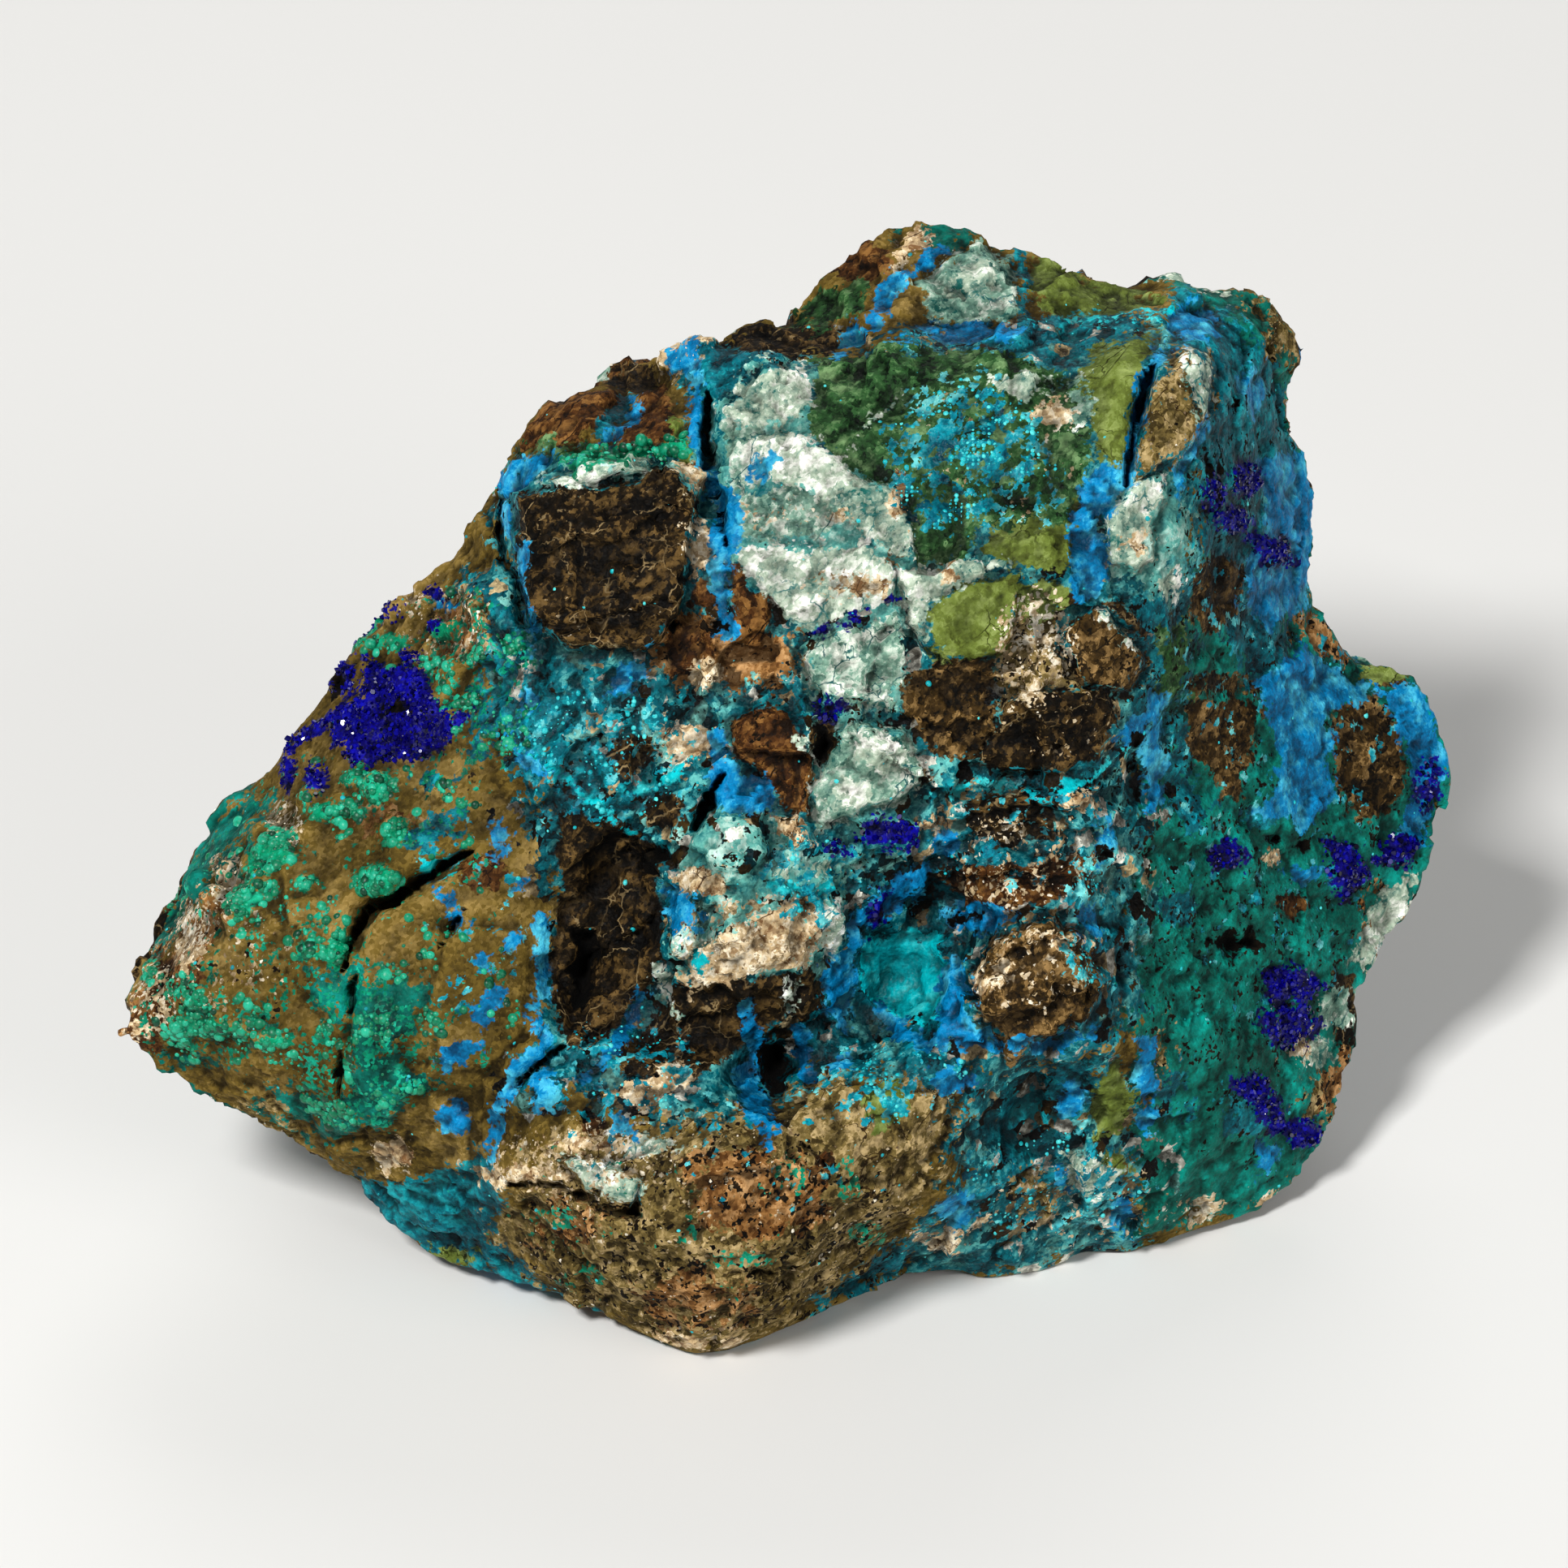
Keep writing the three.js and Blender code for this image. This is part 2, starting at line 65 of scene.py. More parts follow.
# Outlines of the broken pieces of rock that can be told apart on the show face, in grid units.
CLASTS = {
    "dark_block": [(640, 612), (700, 600), (790, 590), (806, 565), (836, 582), (865, 615), (850, 650),
                   (846, 720), (835, 760), (800, 800), (700, 800), (650, 770), (640, 720), (645, 660)],
    "rust_left": [(630, 548), (680, 490), (700, 475), (735, 468), (765, 480), (745, 505), (720, 545),
                  (640, 556)],
    "rust_right": [(762, 552), (770, 525), (800, 480), (815, 468), (835, 515), (832, 545), (790, 552)],
    "white_ledge": [(672, 592), (700, 582), (760, 570), (802, 560), (795, 576), (750, 592), (700, 601)],
    "cream_knob": [(808, 450), (820, 428), (845, 418), (880, 425), (870, 440), (835, 465)],
    "crown_quartz": [(1130, 345), (1160, 325), (1200, 310), (1245, 315), (1252, 390), (1200, 400),
                     (1150, 396)],
    "top_quartz": [(885, 506), (910, 480), (950, 455), (990, 453), (1006, 480), (1000, 502), (960, 530),
                   (920, 526)],
    "quartz_band": [(930, 542), (960, 528), (1010, 548), (1060, 588), (1100, 604), (1122, 650),
                    (1126, 690), (1090, 682), (1040, 640), (990, 602), (948, 592)],
    "grey_grain": [(905, 606), (960, 596), (1010, 610), (1042, 642), (1010, 661), (960, 666), (915, 665)],
    "quartz_lump": [(895, 680), (940, 670), (1000, 676), (1060, 665), (1100, 700), (1096, 736),
                    (1000, 778), (970, 760), (945, 730), (915, 700)],
    "pale_strip": [(1106, 704), (1170, 696), (1246, 692), (1190, 720), (1145, 742), (1136, 792),
                   (1120, 770)],
    "pale_green": [(990, 795), (1060, 770), (1108, 752), (1118, 830), (1100, 872), (1030, 856),
                   (1000, 845)],
    "pale_block": [(1030, 905), (1060, 892), (1110, 900), (1126, 930), (1138, 965), (1110, 986),
                   (1060, 1000), (1010, 1018), (1000, 970), (1020, 940)],
    "olive_square": [(1146, 745), (1180, 720), (1256, 708), (1250, 760), (1240, 804), (1162, 816),
                     (1144, 790)],
    "pillar": [(1425, 470), (1460, 436), (1484, 440), (1486, 510), (1450, 562), (1400, 592), (1400, 550),
               (1410, 500)],
    "right_crystals": [(1360, 640), (1395, 598), (1434, 584), (1438, 612), (1418, 645), (1425, 690),
                       (1400, 706), (1372, 692)],
    "round_clast": [(1312, 776), (1350, 748), (1398, 784), (1416, 818), (1394, 850), (1340, 846)],
    "wedge": [(1355, 742), (1380, 737), (1402, 760), (1412, 792)],
    "brown_middle": [(1110, 832), (1160, 818), (1225, 812), (1222, 860), (1226, 905), (1204, 935),
                     (1150, 925), (1112, 880)],
    "brown_right": [(1236, 866), (1300, 850), (1366, 848), (1376, 900), (1345, 942), (1265, 955),
                    (1200, 940), (1222, 900)],
    "layered": [(1150, 1000), (1200, 978), (1300, 972), (1380, 958), (1392, 1000), (1376, 1060),
                (1340, 1118), (1240, 1128), (1172, 1112), (1148, 1060)],
    "rust_clast": [(900, 890), (940, 868), (972, 880), (1002, 930), (1000, 1004), (960, 990), (940, 950),
                   (904, 930)],
    "rust_wedge": [(900, 690), (918, 700), (926, 726), (946, 736), (948, 770), (935, 796), (904, 796)],
    "teal_clast": [(632, 900), (660, 862), (742, 840), (802, 850), (832, 902), (822, 962), (742, 992),
                   (680, 962)],
    "brain_lump": [(850, 1040), (870, 1010), (910, 1000), (940, 1020), (945, 1050), (920, 1076),
                   (880, 1070)],
    "yellow_tooth": [(955, 1010), (982, 1003), (1003, 1042), (980, 1050)],
    "marbled": [(852, 1180), (880, 1150), (930, 1130), (985, 1112), (1006, 1130), (1000, 1165),
                (985, 1190), (940, 1198), (900, 1212), (850, 1222), (838, 1212)],
    "cave": [(690, 1000), (760, 1000), (820, 1060), (802, 1100), (812, 1180), (790, 1222), (742, 1292),
             (700, 1292), (680, 1230), (690, 1080)],
    "under_marble": [(830, 1212), (900, 1204), (1000, 1194), (1010, 1242), (900, 1292), (862, 1332),
                     (800, 1332), (770, 1320), (820, 1232)],
    "lower_clast": [(1190, 1205), (1225, 1155), (1300, 1128), (1348, 1160), (1345, 1230), (1318, 1270),
                    (1240, 1304), (1214, 1260)],
    "left_clast": [(560, 1140), (640, 1150), (652, 1200), (640, 1270), (600, 1322), (545, 1310),
                   (528, 1240)],
    "shelf": [(690, 1426), (735, 1430), (802, 1458), (784, 1482), (720, 1466)],
    "pocket": [(1058, 1168), (1090, 1150), (1150, 1148), (1172, 1200), (1166, 1250), (1120, 1262),
               (1068, 1232)],
    "cream_gravel": [(1230, 770), (1250, 735), (1288, 728), (1300, 770), (1320, 800), (1330, 846),
                     (1300, 860), (1240, 868), (1222, 830)],
}

# Where each mineral shows, in grid units: veins have a width, spots a centre and two half sizes.
MINERALS = {
    "verdigris": {
        "patches": [
            [(280, 985), (325, 985), (300, 1050), (260, 1110), (225, 1165), (170, 1205), (155, 1195),
             (205, 1130), (230, 1050)],
            [(1400, 960), (1445, 800), (1478, 640), (1488, 420), (1430, 345), (1560, 350), (1620, 440),
             (1800, 830), (1800, 1100), (1700, 1240), (1680, 1400), (1560, 1510), (1400, 1520),
             (1400, 1330), (1370, 1110)],
            [(385, 1190), (440, 1195), (512, 1212), (522, 1240), (480, 1300), (520, 1335), (502, 1362),
             (440, 1402), (380, 1395), (430, 1340), (436, 1262), (390, 1240)],
        ],
        "spots": [(1165, 290, 40, 20), (365, 1365, 36, 24), (230, 1308, 30, 9)],
    },
    "seam": {
        "patches": [
            [(600, 606), (640, 562), (850, 545), (850, 430), (900, 425), (1000, 440), (1250, 395),
             (1400, 390), (1440, 400), (1490, 440), (1480, 560), (1470, 740), (1450, 880), (1405, 1000),
             (1405, 1240), (1340, 1300), (1220, 1340), (1000, 1330), (900, 1420), (760, 1350),
             (640, 1345), (690, 1180), (655, 1000), (615, 900), (560, 720), (620, 700)],
            [(1060, 1300), (1240, 1300), (1340, 1300), (1404, 1330), (1404, 1545), (1220, 1580),
             (1090, 1574), (1180, 1450)],
        ],
    },
    "milk": {
        "patches": [
            [(884, 500), (940, 450), (1004, 452), (1012, 545), (1100, 598), (1130, 690), (1250, 686),
             (1190, 722), (1146, 745), (1134, 800), (1116, 872), (1000, 862), (985, 795), (945, 735),
             (898, 692), (880, 600)],
            [(1000, 880), (1110, 885), (1146, 960), (1100, 1000), (1010, 1025)],
            [(840, 1035), (870, 1000), (950, 1000), (1010, 1035), (1060, 1060), (1045, 1110),
             (1040, 1160), (1010, 1200), (840, 1220), (826, 1100)],
            [(1355, 650), (1395, 596), (1440, 580), (1470, 640), (1440, 745), (1370, 705)],
            [(660, 596), (700, 578), (800, 556), (880, 570), (880, 612), (800, 590)],
        ],
        "spots": [(820, 930, 20, 34)],
    },
    "ochre": {
        "patches": [
            [(840, 1430), (930, 1420), (1010, 1440), (1020, 1500), (930, 1530), (850, 1510)],
            [(810, 756), (880, 760), (920, 792), (985, 772), (960, 840), (920, 850), (830, 842),
             (805, 820)],
            [(1590, 758), (1612, 748), (1654, 818), (1610, 802)],
        ],
        "veins": [
            (36, [(265, 1118), (215, 1190), (150, 1270)]),
        ],
        "spots": [
            (1650, 1330, 16, 40), (860, 1600, 60, 30), (470, 1010, 26, 14), (1700, 1150, 20, 40),
            (560, 770, 30, 30), (700, 1510, 40, 24),
        ],
    },
    "sand": {
        "clasts": ["pillar", "cream_gravel"],
        "patches": [
            [(632, 1440), (700, 1395), (860, 1390), (1000, 1330), (1200, 1330), (1150, 1450),
             (1100, 1520), (1010, 1600), (920, 1655), (850, 1672), (780, 1640), (690, 1585), (620, 1530),
             (600, 1500), (650, 1490)],
            [(1240, 1450), (1290, 1450), (1302, 1490), (1260, 1500)],
            [(1540, 365), (1580, 388), (1606, 430), (1592, 462), (1568, 440)],
        ],
        "spots": [(1628, 1345, 18, 30), (300, 1376, 52, 22), (1430, 1310, 8, 20), (560, 770, 40, 40)],
    },
    "rust": {
        "clasts": ["rust_left", "rust_right", "rust_clast", "rust_wedge"],
        "patches": [
            [(1020, 332), (1060, 305), (1096, 298), (1100, 330), (1080, 346), (1040, 346)],
            [(145, 1262), (200, 1200), (222, 1218), (192, 1300), (160, 1287)],
            [(820, 770), (870, 765), (880, 800), (860, 836), (826, 830)],
            [(1150, 1092), (1200, 1064), (1290, 1062), (1352, 1050), (1345, 1090), (1290, 1116),
             (1200, 1120)],
        ],
        "spots": [
            (865, 732, 16, 18), (1018, 1432, 14, 13), (730, 1388, 15, 13), (1590, 1115, 20, 15),
            (595, 1075, 30, 22), (222, 1200, 30, 26),
        ],
    },
    "bronze": {
        "clasts": ["round_clast", "brown_middle", "lower_clast"],
        "patches": [
            [(1456, 872), (1500, 862), (1552, 868), (1544, 930), (1524, 992), (1490, 960), (1462, 920)],
            [(1638, 866), (1690, 856), (1722, 880), (1734, 950), (1716, 1010), (1668, 1010), (1640, 950)],
            [(1690, 824), (1730, 836), (1734, 850), (1690, 846)],
        ],
        "spots": [(790, 1300, 30, 20), (1490, 750, 30, 26), (1500, 842, 36, 12)],
    },
    "umber": {
        "clasts": ["dark_block", "wedge", "brown_right", "cave", "under_marble"],
        "patches": [
            [(896, 412), (960, 400), (1030, 396), (1030, 428), (920, 440)],
            [(1636, 1196), (1668, 1200), (1670, 1290), (1642, 1284)],
            [(722, 462), (770, 448), (810, 450), (800, 480), (765, 478)],
            [(1190, 990), (1240, 978), (1305, 985), (1300, 1032), (1240, 1042), (1195, 1028)],
        ],
        "spots": [
            (1490, 840, 24, 11), (778, 930, 34, 24), (1130, 955, 18, 14), (1500, 715, 30, 34),
            (820, 1000, 24, 24), (1015, 912, 13, 26),
        ],
    },
    "olive": {
        "clasts": ["olive_square"],
        "patches": [
            [(1265, 310), (1310, 308), (1332, 345), (1400, 358), (1430, 380), (1380, 395), (1300, 392),
             (1270, 360)],
            [(825, 510), (845, 530), (852, 578), (835, 572)],
            [(1236, 604), (1300, 575), (1330, 590), (1330, 650), (1322, 702), (1250, 702), (1205, 682)],
            [(1345, 432), (1430, 408), (1410, 450), (1396, 505), (1384, 576), (1350, 562), (1340, 500),
             (1312, 490)],
            [(1342, 1340), (1380, 1312), (1396, 1350), (1390, 1390), (1350, 1405)],
            [(1055, 1340), (1110, 1330), (1122, 1380), (1080, 1400)],
        ],
        "spots": [(1282, 742, 32, 26), (550, 1545, 34, 10), (1706, 832, 34, 8), (1376, 1438, 18, 18)],
    },
    "forest": {
        "patches": [
            [(970, 392), (1000, 356), (1070, 345), (1062, 392), (1000, 402)],
            [(1000, 440), (1060, 424), (1150, 432), (1260, 440), (1340, 480), (1346, 600), (1320, 640),
             (1200, 650), (1190, 692), (1130, 696), (1112, 600), (1050, 592), (1010, 546), (995, 520)],
            [(1430, 780), (1460, 760), (1456, 860), (1420, 872)],
        ],
        "spots": [(690, 556, 40, 7)],
    },
    "teal": {
        "clasts": ["teal_clast"],
        "patches": [
            [(1100, 402), (1250, 396), (1402, 390), (1400, 418), (1300, 440), (1120, 428)],
            [(850, 440), (900, 428), (962, 440), (930, 456), (900, 482), (880, 492)],
            [(730, 536), (740, 510), (766, 485), (790, 490), (780, 520), (745, 548)],
            [(555, 718), (590, 714), (640, 730), (646, 800), (652, 850), (636, 890), (600, 912),
             (610, 940), (575, 912), (600, 850), (590, 800), (605, 770)],
            [(400, 1430), (450, 1450), (520, 1450), (600, 1420), (632, 1450), (620, 1500), (642, 1562),
             (580, 1562), (530, 1546), (480, 1506)],
            [(1200, 1400), (1230, 1360), (1300, 1310), (1340, 1310), (1340, 1400), (1300, 1430),
             (1240, 1432)],
            [(980, 1602), (1050, 1560), (1150, 1498), (1100, 1572), (1010, 1622)],
            [(1440, 560), (1482, 500), (1490, 540), (1460, 602), (1440, 640)],
            [(1400, 742), (1440, 730), (1450, 780), (1440, 860), (1420, 900), (1400, 860)],
            [(1440, 360), (1500, 380), (1570, 440), (1604, 560), (1612, 720), (1570, 800), (1500, 790),
             (1478, 660)],
            [(1518, 752), (1560, 744), (1594, 770), (1592, 830), (1540, 842), (1514, 800)],
            [(1438, 880), (1462, 858), (1470, 960), (1500, 1012), (1460, 1032), (1430, 980)],
        ],
        "veins": [
            (10, [(1255, 310), (1265, 340), (1258, 392)]),
            (9, [(1040, 640), (1080, 670), (1100, 700), (1106, 740), (1122, 772), (1142, 802),
                 (1166, 816), (1240, 804)]),
            (22, [(1140, 976), (1200, 952), (1250, 960), (1290, 978), (1340, 952), (1390, 912)]),
            (9, [(625, 922), (660, 932), (700, 960), (732, 990), (770, 1020), (800, 1030)]),
            (8, [(740, 1005), (790, 972), (830, 960), (860, 932)]),
            (10, [(640, 1575), (720, 1600), (790, 1632)]),
        ],
        "spots": [
            (640, 1562, 34, 16), (530, 1035, 25, 12), (540, 962, 20, 10), (545, 1005, 18, 9),
            (1350, 1240, 24, 50), (870, 860, 16, 10), (955, 862, 20, 10), (1560, 1010, 22, 14),
            (1450, 1120, 24, 22), (1540, 1370, 34, 26), (1440, 1340, 22, 36),
        ],
    },
    "jade": {
        "clasts": ["crown_quartz", "grey_grain", "pale_green", "pale_block"],
        "patches": [
            [(886, 520), (930, 526), (960, 545), (950, 600), (900, 604)],
        ],
        "spots": [(1640, 1240, 20, 30), (1330, 500, 14, 30)],
    },
    "quartz": {
        "clasts": [
            "top_quartz", "quartz_band", "quartz_lump", "pale_strip", "right_crystals", "white_ledge",
            "shelf",
        ],
        "patches": [
            [(1724, 1080), (1744, 1084), (1722, 1140), (1692, 1190), (1662, 1184), (1680, 1130)],
            [(1312, 1420), (1350, 1420), (1380, 1442), (1360, 1470), (1320, 1480)],
        ],
        "veins": [
            (5, [(1430, 345), (1470, 352), (1512, 366)]),
            (5, [(1352, 750), (1378, 772), (1402, 798)]),
            (5, [(985, 898), (995, 918), (1004, 940)]),
            (7, [(800, 1190), (822, 1230), (842, 1285)]),
            (9, [(1112, 482), (1082, 512), (1050, 546)]),
            (8, [(700, 1446), (735, 1452), (776, 1470)]),
            (9, [(755, 1395), (790, 1408), (812, 1420)]),
        ],
        "spots": [
            (1472, 475, 14, 36), (1443, 342, 11, 7), (1260, 476, 30, 14), (1442, 724, 11, 17),
            (975, 1226, 10, 16), (800, 1410, 30, 14), (1010, 1070, 14, 10), (1022, 1142, 16, 40),
            (866, 1170, 18, 12), (1620, 1300, 22, 16), (1200, 350, 30, 20), (960, 1075, 12, 9),
            (905, 1030, 16, 9), (1088, 930, 36, 24), (1046, 978, 32, 18),
        ],
    },
    "cream": {
        "clasts": ["cream_knob", "yellow_tooth", "marbled"],
        "patches": [
            [(1105, 302), (1130, 270), (1142, 300), (1110, 340), (1100, 330)],
            [(830, 570), (865, 575), (876, 606), (850, 606)],
            [(848, 650), (870, 640), (879, 660), (872, 702), (855, 710)],
            [(812, 880), (850, 900), (880, 905), (870, 930), (850, 952), (830, 950)],
            [(830, 1082), (850, 1065), (896, 1080), (900, 1100), (835, 1102)],
            [(760, 1346), (800, 1320), (830, 1310), (852, 1330), (790, 1366)],
            [(1120, 1522), (1200, 1510), (1232, 1490), (1160, 1542)],
        ],
        "spots": [
            (870, 830, 20, 20), (1155, 1012, 15, 12), (1230, 1190, 18, 12), (1203, 1215, 14, 14),
            (1310, 1157, 30, 8), (488, 1422, 22, 18), (1062, 728, 24, 9), (1398, 668, 18, 12),
            (1600, 1295, 10, 20), (1570, 1055, 8, 8), (1555, 1478, 20, 10), (1480, 1495, 25, 14),
            (640, 1445, 40, 10), (720, 1412, 40, 10), (1300, 512, 20, 16), (1173, 710, 8, 8),
            (860, 1655, 60, 7), (1335, 990, 20, 12), (1038, 630, 9, 10), (1106, 620, 10, 20),
            (225, 1175, 10, 22), (170, 1262, 16, 12),
        ],
    },
    "turquoise": {
        "clasts": ["pocket"],
        "patches": [
            [(510, 1060), (560, 1050), (556, 1066), (520, 1080)],
        ],
        "veins": [
            (6, [(628, 922), (662, 932), (700, 962), (735, 992), (772, 1022)]),
            (6, [(742, 1003), (792, 972), (832, 958), (862, 930)]),
            (5, [(1150, 985), (1200, 962), (1245, 966), (1290, 984), (1340, 960), (1385, 922)]),
        ],
        "spots": [(985, 1090, 30, 8), (1365, 397, 36, 4), (860, 1190, 14, 8)],
    },
    "azure": {
        "patches": [
            [(600, 606), (640, 566), (682, 562), (665, 586), (640, 596), (625, 620)],
            [(920, 580), (950, 555), (966, 565), (940, 592)],
            [(740, 862), (762, 826), (800, 800), (802, 822), (776, 850)],
            [(870, 900), (890, 905), (896, 940), (950, 960), (950, 996), (900, 1000), (880, 990),
             (880, 950)],
            [(810, 1095), (870, 1105), (862, 1140), (840, 1152), (825, 1130)],
            [(1326, 602), (1360, 570), (1386, 580), (1375, 620), (1356, 640), (1368, 700), (1360, 740),
             (1330, 746), (1315, 720), (1322, 640)],
            [(1010, 1200), (1040, 1160), (1070, 1110), (1100, 1090), (1140, 1060), (1152, 1080),
             (1110, 1120), (1062, 1150), (1050, 1200), (1040, 1272), (1015, 1250)],
            [(1170, 1170), (1190, 1190), (1195, 1230), (1226, 1292), (1190, 1292), (1150, 1270),
             (1165, 1230)],
            [(905, 1310), (930, 1300), (945, 1340), (960, 1380), (950, 1422), (930, 1400), (915, 1360)],
            [(590, 1236), (605, 1215), (626, 1220), (596, 1266), (575, 1260)],
            [(530, 1286), (560, 1280), (592, 1285), (550, 1318)],
            [(530, 1086), (560, 1110), (576, 1136), (555, 1140)],
            [(1545, 565), (1606, 560), (1624, 640), (1612, 700), (1608, 756), (1560, 772), (1528, 745),
             (1535, 690), (1562, 650)],
            [(1552, 838), (1600, 800), (1692, 850), (1640, 880), (1636, 1000), (1600, 1024), (1554, 1002),
             (1576, 940), (1560, 880)],
            [(1404, 900), (1432, 892), (1434, 990), (1408, 1002)],
            [(1700, 862), (1740, 842), (1766, 880), (1775, 950), (1750, 1040), (1720, 1050), (1742, 960),
             (1720, 900)],
        ],
        "veins": [
            (16, [(850, 432), (862, 470), (857, 530), (868, 570), (880, 602)]),
            (32, [(890, 608), (900, 640), (891, 690)]),
            (22, [(890, 690), (885, 740), (895, 776)]),
            (12, [(612, 602), (628, 640), (632, 662)]),
            (9, [(645, 680), (640, 720), (650, 760), (662, 802)]),
            (15, [(1158, 307), (1125, 335), (1095, 353), (1078, 394)]),
            (18, [(1052, 405), (1032, 430)]),
            (14, [(1426, 434), (1408, 480), (1394, 540), (1386, 600)]),
            (10, [(1482, 524), (1462, 562), (1448, 604)]),
            (14, [(1411, 1285), (1413, 1400)]),
            (18, [(665, 1130), (672, 1200), (662, 1240), (672, 1290), (640, 1320), (612, 1370),
                  (614, 1425)]),
            (14, [(790, 1230), (760, 1290), (720, 1330)]),
            (18, [(920, 1242), (935, 1300)]),
            (16, [(985, 1270), (990, 1320)]),
            (22, [(1388, 908), (1428, 866)]),
            (12, [(625, 905), (640, 932), (682, 956)]),
            (16, [(1084, 1246), (1120, 1276), (1160, 1282)]),
            (9, [(742, 545), (768, 530), (790, 492)]),
            (12, [(1250, 1284), (1300, 1288), (1345, 1262)]),
            (14, [(760, 1372), (775, 1400)]),
        ],
        "spots": [
            (835, 444, 12, 14), (1190, 414, 60, 12), (615, 1035, 14, 20), (632, 1155, 10, 10),
            (650, 864, 9, 16), (1165, 1045, 14, 24), (1205, 1130, 40, 18), (670, 1345, 18, 24),
            (1320, 1360, 20, 20), (1310, 1456, 10, 18), (1385, 1496, 15, 18), (1175, 1490, 25, 20),
            (1170, 1330, 30, 18), (1470, 405, 30, 22), (1560, 1430, 12, 22), (1540, 480, 14, 22),
            (1342, 1140, 12, 22), (1360, 1035, 9, 22), (1610, 1075, 24, 10), (545, 745, 10, 10),
            (560, 1375, 22, 18), (595, 1182, 10, 8), (1110, 1105, 24, 14), (1040, 1310, 16, 10),
            (640, 1086, 12, 7),
        ],
    },
    "malachite": {
        "patches": [
            [(690, 570), (745, 553), (800, 548), (842, 540), (850, 560), (800, 562), (720, 580)],
            [(310, 1050), (330, 1020), (360, 1020), (360, 1060), (330, 1082), (300, 1080)],
            [(270, 1112), (300, 1090), (322, 1105), (300, 1136)],
        ],
        "spots": [
            (465, 970, 19, 17), (435, 960, 12, 10), (410, 1000, 25, 8), (490, 1025, 16, 14),
            (465, 1085, 25, 18), (460, 795, 25, 8), (260, 1267, 50, 12), (415, 1166, 16, 24),
            (330, 1096, 12, 12), (545, 775, 16, 12), (375, 1090, 12, 9), (240, 1232, 14, 14),
            (335, 1282, 24, 12), (380, 1172, 14, 12), (180, 1195, 14, 9),
        ],
    },
    "azurite": {
        "patches": [
            [(450, 812), (490, 825), (520, 825), (530, 850), (545, 870), (575, 880), (555, 915),
             (510, 940), (460, 940), (440, 946), (410, 915), (405, 890), (365, 920), (365, 960),
             (355, 976), (350, 945), (355, 910), (400, 885), (445, 860)],
            [(1060, 1022), (1080, 1005), (1110, 1010), (1136, 1020), (1130, 1042), (1060, 1042)],
            [(1528, 658), (1582, 664), (1594, 696), (1556, 698)],
            [(1630, 1036), (1662, 1040), (1682, 1076), (1652, 1112), (1632, 1080)],
            [(1682, 1060), (1720, 1026), (1750, 1032), (1728, 1068)],
            [(1552, 1196), (1590, 1188), (1630, 1216), (1596, 1238), (1562, 1232)],
            [(1552, 1246), (1600, 1232), (1626, 1260), (1590, 1294), (1560, 1280)],
            [(1514, 1332), (1556, 1326), (1590, 1396), (1560, 1390)],
        ],
        "veins": [
            (4, [(1000, 780), (1050, 765), (1085, 745), (1106, 738)]),
        ],
        "spots": [
            (422, 838, 20, 22), (390, 960, 12, 18), (505, 810, 12, 9), (485, 755, 10, 13),
            (533, 728, 8, 7), (530, 770, 8, 7), (1032, 1045, 13, 9), (1019, 875, 16, 13),
            (1081, 1125, 8, 18), (1531, 590, 22, 20), (1490, 608, 12, 20), (1512, 641, 20, 15),
            (1756, 966, 12, 28), (1509, 1055, 18, 17), (1603, 1395, 22, 18),
        ],
    },
    # Holes and cracks painted near black as painted shade, where the holes are also sunk in the relief.
    "void": {
        "patches": [
            [(770, 1050), (820, 1040), (830, 1060), (810, 1090), (780, 1080)],
            [(700, 1140), (730, 1140), (740, 1180), (735, 1230), (720, 1270), (705, 1240)],
            [(930, 1290), (960, 1270), (975, 1310), (960, 1360), (940, 1340)],
            [(1003, 890), (1030, 890), (1025, 920), (1010, 940)],
            [(1485, 1155), (1540, 1140), (1550, 1165), (1520, 1195)],
            [(1362, 1155), (1375, 1150), (1390, 1200), (1370, 1190)],
        ],
        "veins": [
            (5, [(615, 640), (620, 690), (640, 710), (640, 760), (655, 800)]),
        ],
        "spots": [
            (840, 716, 8, 9), (830, 770, 9, 12), (880, 770, 9, 10), (1400, 915, 13, 9),
            (1397, 945, 11, 10), (1402, 982, 6, 16), (1357, 1052, 11, 10), (1515, 500, 9, 8),
            (1570, 1035, 9, 7), (1600, 1045, 10, 9), (490, 873, 16, 9), (418, 842, 12, 14),
            (1178, 1133, 18, 8), (1490, 580, 6, 30),
        ],
    },
}

